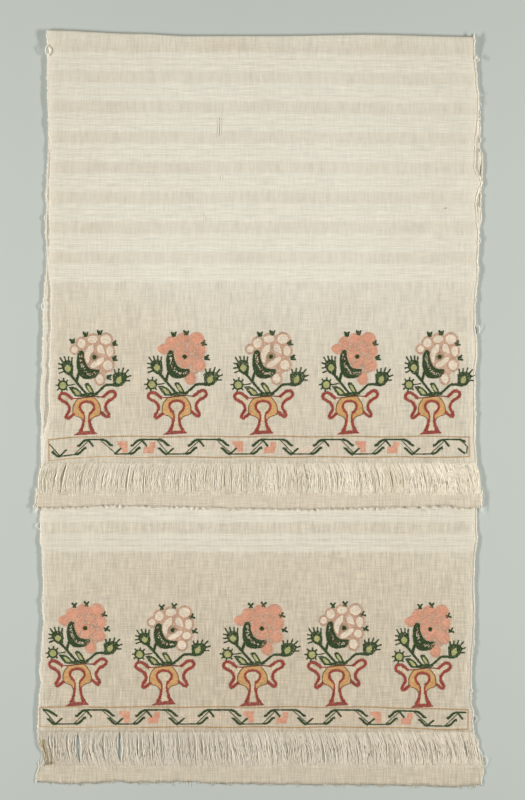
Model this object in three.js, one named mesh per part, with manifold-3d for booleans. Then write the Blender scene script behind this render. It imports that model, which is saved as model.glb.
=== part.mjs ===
// Embroidered towel, woven in one piece and folded once across its width.
//
// It lies face up on a flat surface. The fold is at the top (+Y). The back layer runs underneath from
// the fold to the lower end, and the front layer lies on it and ends a little below the middle. Each
// end has an open band, where the warps were left unwoven, closed by a strip of plain weave.
//
// Units are millimetres, +Z is up, and the underside lies on z = 0. The origin is at the middle of the
// footprint.

import * as THREE from "three";
import Module from "manifold-3d";
import { mergeVertices } from "three/addons/utils/BufferGeometryUtils.js";

const wasm = await Module();
wasm.setup();

// ---------------------------------------------------------------- driving sizes

const LAYER = 1.2; // thickness of one layer of the woven cloth
const OPEN_LAYER = 1.0; // thickness of the loose warps and of the end strips
const PIECE_GAP = 0.3; // clearance between the cloth and its open bands
const LAYER_GAP = 1.0; // air between the two layers where they lie closest
const ROLL_RADIUS = 2.2; // of the middle of the cloth, round the fold
const ROLL_EASE = 46; // length over which the front layer sinks from the fold onto the back layer

const FRONT_END_Y = -62; // where the weave of the front layer stops
const BACK_END_Y = -363; // where the weave of the back layer stops

const NOMINAL_LEFT = -240; // selvedges of the body before its small waves
const NOMINAL_RIGHT = 243;

const SELVEDGE_WIDTH = 8; // strip along each side that curls up a little
const SELVEDGE_CURL = 1.0; // height of that curl at the very edge
const COVERED_Y = -118; // above this the front layer presses the back layer's selvedges flat
const CURL_FADE = 30; // length over which the curl rises below that line

const COLUMNS = 11; // stretches across the width between the two selvedge strips
const BACK_ROWS = 34; // stretches along the back layer
const FRONT_ROWS = 62; // stretches along the front layer
const ROLL_ROWS = 8; // stretches round the fold
const STRIP_COLUMNS = 24; // stretches along an end strip
const BUNDLE_ROWS = 4; // stretches along a bundle of warps

// Weft bands: the dense bands stand a little proud of the sheer ones between them.
const BAND_PITCH = 33.6;
const FIRST_BAND_Y = 388.6; // middle of the band next to the fold
const BAND_COUNT = 8;
const BAND_RISE = 0.3;

// Loose warps: bundles of uneven width, drawn in at the waist and bowed to one side.
const UNEVEN_SHARE = 0.22; // of a bundle's width by which its sides shift
const WAIST_SHARE = 0.22; // of a bundle's width drawn in on each side
const SLIT_MIN = 0.5;
const SLIT_SPREAD = 0.5;
const WIDE_GAP_REACH = 6; // a slit this near a listed wide gap takes its width
const STRIP_WAVE = { height: 1.1, turns: 3 }; // of the frayed lower edge of an end strip

// ---------------------------------------------------------------- outline tables

// Outer edge of the fold, from the left selvedge to the right.
const FOLD_LINE = [
  { x: -240, y: 424 },
  { x: -140, y: 420 },
  { x: -80, y: 417.5 },
  { x: 20, y: 417.5 },
  { x: 120, y: 419 },
  { x: 243, y: 416.5 },
];

// Selvedges of the front layer, from the fold down.
const FRONT_EDGES = [
  { y: 424, left: -237.5, right: 242.5 },
  { y: 400, left: -238, right: 242.5 },
  { y: 370, left: -237, right: 245 },
  { y: 330, left: -236.5, right: 246 },
  { y: 290, left: -234.5, right: 243.5 },
  { y: 262, left: -233.5, right: 243 },
  { y: 230, left: -233.5, right: 244 },
  { y: 186, left: -234, right: 246.5 },
  { y: 140, left: -234.5, right: 246 },
  { y: 100, left: -235, right: 243.5 },
  { y: 50, left: -235, right: 244.5 },
  { y: 20, left: -235.5, right: 243.5 },
  { y: -10, left: -235.5, right: 243 },
  { y: -45, left: -235.5, right: 244 },
  { y: -62, left: -238, right: 245.5 },
];

// Selvedges of the back layer, from the fold down.
const BACK_EDGES = [
  { y: 424, left: -237, right: 243 },
  { y: 330, left: -236.5, right: 247 },
  { y: 288, left: -237, right: 249.5 },
  { y: 262, left: -240, right: 251 },
  { y: 226, left: -239.5, right: 249 },
  { y: 198, left: -242, right: 247.5 },
  { y: 130, left: -241.5, right: 243.5 },
  { y: 70, left: -243, right: 243.5 },
  { y: 0, left: -244.5, right: 244 },
  { y: -62, left: -244.5, right: 244.5 },
  { y: -112, left: -245, right: 245 },
  { y: -148, left: -244.5, right: 246 },
  { y: -180, left: -243, right: 242.5 },
  { y: -230, left: -242, right: 242.5 },
  { y: -262, left: -243.5, right: 241 },
  { y: -295, left: -245, right: 239 },
  { y: -330, left: -246, right: 238.5 },
  { y: -350, left: -248, right: 240 },
  { y: -363, left: -248.5, right: 241.5 },
];

// Long soft undulations of the front layer: middle, half widths and height.
const SWELLS = [
  { x: -190, y: 350, acrossX: 50, acrossY: 60, height: 0.35 },
  { x: 130, y: 300, acrossX: 80, acrossY: 45, height: 0.3 },
  { x: -60, y: 190, acrossX: 90, acrossY: 40, height: 0.3 },
  { x: 225, y: 170, acrossX: 30, acrossY: 70, height: 0.5 },
  { x: 60, y: 85, acrossX: 120, acrossY: 30, height: 0.3 },
  { x: -222, y: 60, acrossX: 24, acrossY: 90, height: 0.5 },
  { x: 192, y: -60, acrossX: 34, acrossY: 24, height: 0.8 },
];

// Open bands. The warps fan out from the cloth to the end strip, so the strip has edges of its own.
const FRONT_BAND = {
  name: "front_open_band",
  clothY: FRONT_END_Y,
  stripY: -94.5,
  endY: -111,
  clothLeft: -237.5,
  clothRight: 245,
  stripLeft: -247.5,
  stripRight: 249.5,
  endLeft: -252,
  endRight: 248.5,
  baseZ: LAYER + LAYER_GAP - 0.2,
  lift: { x: 192, width: 26, height: 1.2 },
  warps: { count: 36, seed: 3, sway: 1.6 },
  wideGaps: [
    { x: -228, width: 3 },
    { x: 96, width: 2.6 },
    { x: 206, width: 3 },
  ],
};
const BACK_BAND = {
  name: "back_open_band",
  clothY: BACK_END_Y,
  stripY: -399,
  endY: -422.9,
  clothLeft: -248,
  clothRight: 241,
  stripLeft: -245.5,
  stripRight: 252,
  endLeft: -248,
  endRight: 249,
  baseZ: 0,
  lift: { x: 0, width: 1, height: 0 },
  warps: { count: 36, seed: 11, sway: 1.8 },
  wideGaps: [
    { x: -200, width: 4.6 },
    { x: -156, width: 4.4 },
    { x: -50, width: 3 },
    { x: 150, width: 3.2 },
  ],
};

// ---------------------------------------------------------------- helpers

const lerp = (a, b, share) => a + (b - a) * share;
const smooth = (share) => share * share * (3 - 2 * share);
const clamp01 = (value) => Math.min(1, Math.max(0, value));

/** Value of `column` at `at` in a table sorted by `key`, blended smoothly between its rows. */
function lookUp(table, key, at, column) {
  const rows = table[0][key] < table[1][key] ? table : [...table].reverse();
  if (at <= rows[0][key]) return rows[0][column];
  for (let i = 1; i < rows.length; i += 1) {
    if (at <= rows[i][key]) {
      const share = (at - rows[i - 1][key]) / (rows[i][key] - rows[i - 1][key]);
      return lerp(rows[i - 1][column], rows[i][column], smooth(share));
    }
  }
  return rows[rows.length - 1][column];
}

/** Repeatable number from 0 to 1 for piece `index` of a set. */
function scatter(seed, index) {
  const value = Math.sin(seed * 12.9898 + index * 78.233) * 43758.5453;
  return value - Math.floor(value);
}

const bell = (offset, half) => Math.exp(-((offset / half) ** 2));

/** Height that swells and dense weft bands add to the front layer. */
function frontRelief(x, y) {
  let rise = 0;
  for (const swell of SWELLS) {
    rise += swell.height * bell(x - swell.x, swell.acrossX) * bell(y - swell.y, swell.acrossY);
  }
  const bandsDown = (FIRST_BAND_Y - y) / BAND_PITCH;
  if (bandsDown > -0.5 && bandsDown < BAND_COUNT - 0.5) {
    rise += BAND_RISE * 0.5 * (1 + Math.cos(bandsDown * 2 * Math.PI));
  }
  return rise;
}

/** A closed mesh through a row of rings, each with the same number of points, capped at both ends. */
function loft(rings) {
  const size = rings[0].length;
  const positions = rings.flat(2);
  const faces = [];
  for (let r = 0; r + 1 < rings.length; r += 1) {
    for (let i = 0; i < size; i += 1) {
      const j = (i + 1) % size;
      const a = r * size + i;
      const b = r * size + j;
      faces.push(a, b + size, b, a, a + size, b + size);
    }
  }
  // The end caps are laddered between the two sides of the ring.
  for (const [base, flip] of [[0, true], [(rings.length - 1) * size, false]]) {
    for (let i = 0; i < size / 2 - 1; i += 1) {
      const [a, b, c, d] = [i, i + 1, size - 2 - i, size - 1 - i].map((k) => base + k);
      faces.push(...(flip ? [a, b, c, a, c, d] : [a, c, b, a, d, c]));
    }
  }
  const geometry = new THREE.BufferGeometry();
  geometry.setAttribute("position", new THREE.Float32BufferAttribute(positions, 3));
  geometry.setIndex(faces);
  return geometry;
}

/** A closed mesh as a solid that can be joined to others. */
function toSolid(geometry) {
  const merged = mergeVertices(geometry, 1e-4);
  const mesh = new wasm.Mesh({
    numProp: 3,
    vertProperties: new Float32Array(merged.attributes.position.array),
    triVerts: new Uint32Array(merged.index.array),
  });
  return new wasm.Manifold(mesh);
}

/** A joined solid back as a mesh. */
function toGeometry(solid) {
  const mesh = solid.getMesh();
  const geometry = new THREE.BufferGeometry();
  geometry.setAttribute("position", new THREE.BufferAttribute(mesh.vertProperties, 3));
  geometry.setIndex(new THREE.BufferAttribute(mesh.triVerts, 1));
  return geometry;
}

// ---------------------------------------------------------------- woven body

/** Places across the width, from 0 at the left selvedge to 1 at the right one. */
function columnShares() {
  const strip = SELVEDGE_WIDTH / (NOMINAL_RIGHT - NOMINAL_LEFT);
  const shares = [0];
  for (let c = 0; c <= COLUMNS; c += 1) shares.push(lerp(strip, 1 - strip, c / COLUMNS));
  return [...shares, 1];
}

const COLUMN_SHARES = columnShares();

/** Height that the curled selvedges add: nothing between the two end columns. */
const selvedgeCurl = (across) => (across === 0 || across === 1 ? SELVEDGE_CURL : 0);

/** Ring across the width: the outer face from left to right, then the inner face back again. */
function clothRing(outer, inner) {
  return [...COLUMN_SHARES.map(outer), ...[...COLUMN_SHARES].reverse().map(inner)];
}

const foldY = (x) => lookUp(FOLD_LINE, "x", x, "y");

/** Point on the back layer: `down` runs from 0 at its end to 1 at the fold. */
function backPoint(across, down, z) {
  const roughX = lerp(NOMINAL_LEFT, NOMINAL_RIGHT, across);
  const y = lerp(BACK_END_Y, foldY(roughX) - ROLL_RADIUS - LAYER / 2, down);
  const left = lookUp(BACK_EDGES, "y", y, "left");
  const right = lookUp(BACK_EDGES, "y", y, "right");
  const curl = selvedgeCurl(across) * clamp01((COVERED_Y - y) / CURL_FADE);
  return [lerp(left, right, across), y, z + curl];
}

/** Point on the front layer: `down` runs from 0 at the fold to 1 at its end. */
function frontPoint(across, down, face) {
  const roughX = lerp(NOMINAL_LEFT, NOMINAL_RIGHT, across);
  const top = foldY(roughX) - ROLL_RADIUS - LAYER / 2;
  const y = lerp(top, FRONT_END_Y, down);
  const left = lookUp(FRONT_EDGES, "y", y, "left");
  const right = lookUp(FRONT_EDGES, "y", y, "right");
  const x = lerp(left, right, across);
  const sink = smooth(clamp01((top - y) / ROLL_EASE));
  const middle = lerp(LAYER / 2 + 2 * ROLL_RADIUS, LAYER * 1.5 + LAYER_GAP, sink);
  const rise = sink * (frontRelief(x, y) + selvedgeCurl(across));
  return [x, y, middle + rise + (face * LAYER) / 2];
}

/** Point round the fold: `turn` runs from 0 on the back layer to 1 on the front layer. */
function rollPoint(across, turn, face) {
  const roughX = lerp(NOMINAL_LEFT, NOMINAL_RIGHT, across);
  const angle = turn * Math.PI;
  const radius = ROLL_RADIUS + (face * LAYER) / 2;
  const centreY = foldY(roughX) - ROLL_RADIUS - LAYER / 2;
  const left = lerp(BACK_EDGES[0].left, FRONT_EDGES[0].left, turn);
  const right = lerp(BACK_EDGES[0].right, FRONT_EDGES[0].right, turn);
  const y = centreY + radius * Math.sin(angle);
  return [lerp(left, right, across), y, LAYER / 2 + ROLL_RADIUS - radius * Math.cos(angle)];
}

/** The whole body as one section of its layers: back layer, fold roll and front layer. */
function buildCloth() {
  const rings = [];
  for (let r = 0; r < BACK_ROWS; r += 1) {
    const down = r / BACK_ROWS;
    rings.push(clothRing((across) => backPoint(across, down, 0), (across) => backPoint(across, down, LAYER)));
  }
  for (let r = 0; r < ROLL_ROWS; r += 1) {
    const turn = r / ROLL_ROWS;
    rings.push(clothRing((across) => rollPoint(across, turn, 1), (across) => rollPoint(across, turn, -1)));
  }
  for (let r = 0; r <= FRONT_ROWS; r += 1) {
    const down = r / FRONT_ROWS;
    rings.push(clothRing((across) => frontPoint(across, down, 1), (across) => frontPoint(across, down, -1)));
  }
  return loft(rings);
}

// ---------------------------------------------------------------- open bands

/** Height that the lifted stretch of a band's strip adds. */
const bandLift = (band, x) => band.lift.height * bell(x - band.lift.x, band.lift.width);

/** The plain-woven end strip, as a closed slab that follows the band's lift. */
function stripSlab(band) {
  const rings = [];
  for (let c = 0; c <= STRIP_COLUMNS; c += 1) {
    const share = c / STRIP_COLUMNS;
    const xTop = lerp(band.stripLeft, band.stripRight, share);
    const xEnd = lerp(band.endLeft, band.endRight, share);
    const wave = STRIP_WAVE.height * Math.sin(share * STRIP_WAVE.turns * 2 * Math.PI + band.warps.seed);
    const low = band.baseZ + bandLift(band, xEnd);
    const high = low + OPEN_LAYER;
    rings.push([
      [xEnd, band.endY + wave, low],
      [xEnd, band.endY + wave, high],
      [xTop, band.stripY, band.baseZ + OPEN_LAYER + bandLift(band, xTop)],
      [xTop, band.stripY, band.baseZ + bandLift(band, xTop)],
    ]);
  }
  return loft(rings);
}

/** One bundle of warps, bowed sideways, from the strip to just short of the woven cloth. */
function warpBundle(band, strip, cloth, bow) {
  const rings = [];
  for (let s = 0; s <= BUNDLE_ROWS; s += 1) {
    const up = s / BUNDLE_ROWS;
    const y = lerp(band.stripY - OPEN_LAYER, band.clothY - PIECE_GAP, up);
    const sway = bow * Math.sin(up * Math.PI);
    const waist = WAIST_SHARE * (strip.right - strip.left) * Math.sin(up * Math.PI);
    const left = lerp(strip.left, cloth.left, up) + sway + waist;
    const right = lerp(strip.right, cloth.right, up) + sway - waist;
    const low = band.baseZ + bandLift(band, (left + right) / 2) * (1 - up);
    rings.push([
      [left, y, low],
      [right, y, low],
      [right, y, low + OPEN_LAYER],
      [left, y, low + OPEN_LAYER],
    ]);
  }
  return loft(rings);
}

/** One open band: the end strip is the comb's back, and the warp bundles are its teeth. */
function buildBand(band) {
  const { count, seed, sway } = band.warps;
  let solid = toSolid(stripSlab(band));
  const sides = [];
  for (let i = 0; i <= count; i += 1) {
    const shift = i === 0 || i === count ? 0 : UNEVEN_SHARE * (scatter(seed, i) - 0.5);
    const share = (i + shift) / count;
    const strip = lerp(band.stripLeft, band.stripRight, share);
    const cloth = lerp(band.clothLeft, band.clothRight, share);
    const slit = SLIT_MIN + SLIT_SPREAD * scatter(seed, count + i);
    const near = band.wideGaps.find((gap) => Math.abs(gap.x - strip) < WIDE_GAP_REACH);
    sides.push({ strip, cloth, clothHalf: slit / 2, stripHalf: (slit + (near ? near.width : 0)) / 2 });
  }
  for (let i = 0; i < count; i += 1) {
    const [left, right] = [sides[i], sides[i + 1]];
    const stripSpan = { left: left.strip + left.stripHalf, right: right.strip - right.stripHalf };
    const clothSpan = { left: left.cloth + left.clothHalf, right: right.cloth - right.clothHalf };
    const bow = sway * (scatter(seed, 2 * count + i) - 0.5);
    solid = solid.add(toSolid(warpBundle(band, stripSpan, clothSpan, bow)));
  }
  return toGeometry(solid);
}

// ---------------------------------------------------------------- assembly

const wovenCotton = new THREE.MeshStandardMaterial({ color: 0xd9d0bb, roughness: 0.95, metalness: 0 });
const looseWarps = new THREE.MeshStandardMaterial({ color: 0xcfc3a8, roughness: 0.95, metalness: 0 });

const towel = new THREE.Group();

function addPiece(name, geometry, material) {
  const mesh = new THREE.Mesh(geometry, material);
  mesh.name = name;
  towel.add(mesh);
}

addPiece("cloth", buildCloth(), wovenCotton);
for (const band of [FRONT_BAND, BACK_BAND]) addPiece(band.name, buildBand(band), looseWarps);

export default towel;
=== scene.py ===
"""Looks of an embroidered, hand-loomed towel that lies folded once on a flat surface.

The woven body is one folded sheet. Each end has an open band of loose warps, closed by a woven end
strip. The embroidery is made of single stitches, laid out from charts in millimetres, and the loose
warps, selvedges and frayed edges are single yarns. Sizes are in millimetres unless a name says metres.
"""

from __future__ import annotations

import logging
import math
from dataclasses import dataclass, field, replace
from enum import Enum
from typing import Callable, Sequence

import bpy
import numpy as np
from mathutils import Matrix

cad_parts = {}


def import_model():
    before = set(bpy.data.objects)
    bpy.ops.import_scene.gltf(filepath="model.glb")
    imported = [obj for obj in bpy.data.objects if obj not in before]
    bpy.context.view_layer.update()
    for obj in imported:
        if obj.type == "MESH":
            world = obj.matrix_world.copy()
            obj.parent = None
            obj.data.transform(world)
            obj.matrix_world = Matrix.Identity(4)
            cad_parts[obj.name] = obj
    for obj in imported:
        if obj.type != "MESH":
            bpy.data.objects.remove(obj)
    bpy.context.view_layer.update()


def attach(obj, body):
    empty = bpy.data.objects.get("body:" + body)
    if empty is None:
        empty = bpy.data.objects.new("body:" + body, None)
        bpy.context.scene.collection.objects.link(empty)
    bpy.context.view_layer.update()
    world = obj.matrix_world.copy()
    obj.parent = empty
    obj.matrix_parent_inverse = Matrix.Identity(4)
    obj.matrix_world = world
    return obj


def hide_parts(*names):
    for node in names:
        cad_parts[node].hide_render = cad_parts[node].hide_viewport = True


LOG = logging.getLogger("towel")
MM = 0.001
MATH = "ShaderNodeMath"
MIX = "ShaderNodeMix"
NAMED = "GeometryNodeInputNamedAttribute"
NOISE = "ShaderNodeTexNoise"
RANGE = "ShaderNodeMapRange"
TINT = "ShaderNodeHueSaturation"
Array = np.ndarray
Material = bpy.types.Material
Node = bpy.types.Node
Piece = bpy.types.Object
Socket = bpy.types.NodeSocket
Tree = bpy.types.NodeTree
Point = tuple[float, float]
Path = Sequence[Point]
Height = Callable[[Array, Array], Array]


# ---- helpers


def srgb(code: str) -> tuple[float, float, float, float]:
    """Turns an sRGB hex colour into the linear colour that shaders take.

    Args:
        code: six hex digits, with or without a leading hash.

    Returns:
        Red, green, blue and an alpha of 1.
    """
    digits = code.lstrip("#")
    channels = [int(digits[i : i + 2], 16) / 255 for i in (0, 2, 4)]
    linear = [c / 12.92 if c <= 0.04045 else ((c + 0.055) / 1.055) ** 2.4 for c in channels]
    return (*linear, 1.0)


def smooth(share: Array) -> Array:
    """Eases a share from 0 to 1, flat at both ends."""
    share = np.clip(share, 0.0, 1.0)
    return share * share * (3 - 2 * share)


def bell(offset: Array, half: float) -> Array:
    """A soft hump of height 1 that fades over about half on each side."""
    return np.exp(-((offset / half) ** 2))


def look_up(rows: Sequence[Sequence[float]], column: int, at: Array) -> Array:
    """Reads a table, eased between its rows.

    Args:
        rows: the table. Its first column is the place, and runs up or down.
        column: the column to read.
        at: places to read it at.

    Returns:
        The values there, held at the first and last row beyond the table.
    """
    table = np.array(sorted(tuple(row) for row in rows))
    at = np.asarray(at, dtype=float)
    i = np.clip(np.searchsorted(table[:, 0], at) - 1, 0, len(table) - 2)
    share = smooth((at - table[i, 0]) / (table[i + 1, 0] - table[i, 0]))
    return table[i, column] * (1 - share) + table[i + 1, column] * share


def curve_through(points: Path, step: float, closed: bool = False) -> Array:
    """Runs a smooth curve through given points and walks along it in even steps.

    Args:
        points: the points, in order.
        step: the distance between the points returned.
        closed: whether the curve goes on from the last point to the first.

    Returns:
        An array of points, one row each.
    """
    p = np.array(points, dtype=float)
    if closed:
        p = np.vstack([p[-1:], p, p[:2]])
    else:
        p = np.vstack([2 * p[0] - p[1], p, 2 * p[-1] - p[-2]])
    t = np.linspace(0, 1, 12, endpoint=False)[:, None]
    spans = []
    for a, b, c, d in zip(p, p[1:], p[2:], p[3:]):
        curve = 2 * b + (c - a) * t + (2 * a - 5 * b + 4 * c - d) * t**2 + (3 * b - a - 3 * c + d) * t**3
        spans.append(curve / 2)
    dense = np.vstack([*spans, p[-2:-1]])
    return even_steps(dense, step)


def even_steps(path: Array, step: float) -> Array:
    """Walks along a path of straight pieces in even steps, ends included.

    Args:
        path: the path's points, one row each.
        step: the distance between the points returned.

    Returns:
        The points, one row each.
    """
    lengths = np.hypot(*np.diff(path, axis=0).T)
    along = np.concatenate([[0], np.cumsum(lengths)])
    count = max(2, int(round(along[-1] / step)) + 1)
    stations = np.linspace(0, along[-1], count)
    return np.column_stack([np.interp(stations, along, path[:, k]) for k in range(path.shape[1])])


def mirrored(points: Path, axis: float) -> list[Point]:
    """Completes an outline that is given as distances from an upright axis, from the bottom up.

    Args:
        points: distance from the axis and height of each point.
        axis: x of the axis.

    Returns:
        The outline's points.
    """
    right = [(axis + x, y) for x, y in points]
    left = [(axis - x, y) for x, y in points]
    return right + left[::-1]


def directions(path: Array) -> Array:
    """Angle of a path at each of its points."""
    run = np.gradient(path, axis=0)
    return np.arctan2(run[:, 1], run[:, 0])


def feed(node: Node, inputs: dict | tuple) -> Node:
    """Fills a node's inputs.

    Args:
        node: the node.
        inputs: what goes into each input, in order or by name or number: a value, another node's
            output, or another node, which gives the first of its outputs that is in use.

    Returns:
        The same node.
    """
    for name, value in inputs.items() if isinstance(inputs, dict) else enumerate(inputs):
        if isinstance(value, Node):
            value = next(output for output in value.outputs if output.enabled)
        if isinstance(value, Socket):
            node.id_data.links.new(value, node.inputs[name])
        else:
            node.inputs[name].default_value = value
    return node


def add(tree: Tree, kind: str, inputs: dict | tuple = (), **settings) -> Node:
    """Adds a node to a tree.

    Args:
        tree: the tree.
        kind: the node's type.
        inputs: what goes into its inputs, as for feed.
        settings: the node's own settings.

    Returns:
        The new node.
    """
    node = tree.nodes.new(kind)
    for name, value in settings.items():
        setattr(node, name, value)
    return feed(node, inputs)


def new_material(name: str) -> tuple[Material, Tree, Node]:
    """Starts a material.

    Args:
        name: its name.

    Returns:
        The material, its node tree and its shader.
    """
    material = bpy.data.materials.new(name)
    material.use_nodes = True
    tree = material.node_tree
    return material, tree, tree.nodes["Principled BSDF"]


def new_object(name: str, vertices: Array, edges: Sequence, faces: Sequence) -> Piece:
    """Makes a mesh object at the origin from points in millimetres.

    Args:
        name: its name.
        vertices: its points, one row each.
        edges: pairs of points.
        faces: loops of points.

    Returns:
        The object.
    """
    mesh = bpy.data.meshes.new(name)
    mesh.from_pydata(np.asarray(vertices) * MM, list(edges), list(faces))
    piece = bpy.data.objects.new(name, mesh)
    bpy.context.collection.objects.link(piece)
    return piece


def set_attribute(piece: Piece, name: str, kind: str, values: Array) -> None:
    """Stores one value for each point of a piece's mesh.

    Args:
        piece: the piece.
        name: the attribute's name.
        kind: its type.
        values: its values.
    """
    attribute = piece.data.attributes.new(name, kind, "POINT")
    key = "vector" if kind == "FLOAT_VECTOR" else "value"
    attribute.data.foreach_set(key, np.asarray(values, dtype=np.float32).ravel())


# ---- materials


@dataclass(frozen=True)
class Floss:
    """Untwisted silk or metal thread, laid flat: it gives the eye a soft gleam along the stitch."""

    name: str
    colour: str
    slot: str
    roughness: float = 0.55
    fade: float = 0.18

    def make(self) -> Material:
        """Builds the material: each stitch has its own shade, and patches have faded.

        Returns:
            The material.
        """
        material, tree, shader = new_material(self.name)
        place = add(tree, "ShaderNodeTexCoord").outputs["Object"]
        patches = add(tree, NOISE, {"Vector": place, "Scale": 90.0, "Detail": 2.0})
        shade = add(tree, "ShaderNodeAttribute", attribute_name="shade").outputs["Fac"]
        mixed = add(tree, MATH, (shade, patches), operation="ADD")
        reach = 1.6 * self.fade
        value = add(tree, RANGE, (mixed, 0.2, 1.8, 1 - reach, 1 + reach))
        tint = add(tree, TINT, {"Value": value, "Color": srgb(self.colour)})
        feed(shader, {"Base Color": tint, "Roughness": self.roughness, "Specular IOR Level": 0.35})
        return material


class Thread(Enum):
    """The threads in the needle, each with its finish."""

    DARK_GREEN = Floss("dark green floss silk", "#324721", "silk_green", fade=0.25)
    LIGHT_GREEN = Floss("light green floss silk", "#B4B377", "silk_light_green")
    SALMON = Floss("salmon floss silk", "#DFA386", "silk_salmon", fade=0.14)
    PALE = Floss("pale pink floss silk", "#EDDFC9", "silk_pale", fade=0.1)
    ROSE = Floss("rose brown floss silk", "#CDA78C", "silk_salmon")
    BLUSH = Floss("faded pink floss silk", "#DEC1A8", "silk_pale", fade=0.1)
    TAUPE = Floss("grey brown floss silk", "#B3997C", "silk_pale")
    OCHRE = Floss("ochre floss silk", "#D5A769", "silk_ochre")
    RED = Floss("madder red floss silk", "#9B4436", "silk_red", fade=0.2)
    BROWN = Floss("dark brown sewing silk", "#6E3F2E", "silk_green")
    UMBER = Floss("light brown sewing silk", "#93693C", "silk_ochre")
    METAL = Floss("tarnished metal thread", "#CEC1A4", "metal_thread", roughness=0.6)


@dataclass(frozen=True)
class CottonYarn:
    """Hand-spun cotton yarn: matt, a little hairy, and thicker and paler in places."""

    name: str
    colour: str
    dark: str

    def make(self) -> Material:
        """Builds the material: a shade for each yarn, and slubs along it.

        Returns:
            The material.
        """
        material, tree, shader = new_material(self.name)
        place = add(tree, "ShaderNodeTexCoord").outputs["Object"]
        slubs = add(tree, NOISE, {"Vector": place, "Scale": 260.0, "Detail": 3.0})
        shade = add(tree, "ShaderNodeAttribute", attribute_name="shade").outputs["Fac"]
        mixed = add(tree, MATH, (slubs, 0.5, shade), operation="MULTIPLY_ADD")
        share = add(tree, RANGE, (mixed, 0.1, 1.1))
        tint = add(tree, MIX, {0: share, 6: srgb(self.dark), 7: srgb(self.colour)}, data_type="RGBA")
        feed(shader, {"Base Color": tint, "Roughness": 0.95, "Specular IOR Level": 0.2})
        return material


@dataclass(frozen=True)
class Stain:
    """A soft brown spot: its place and half sizes across and along the cloth, and its strength."""

    across: float
    along: float
    half_across: float
    half_along: float
    strength: float


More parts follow.
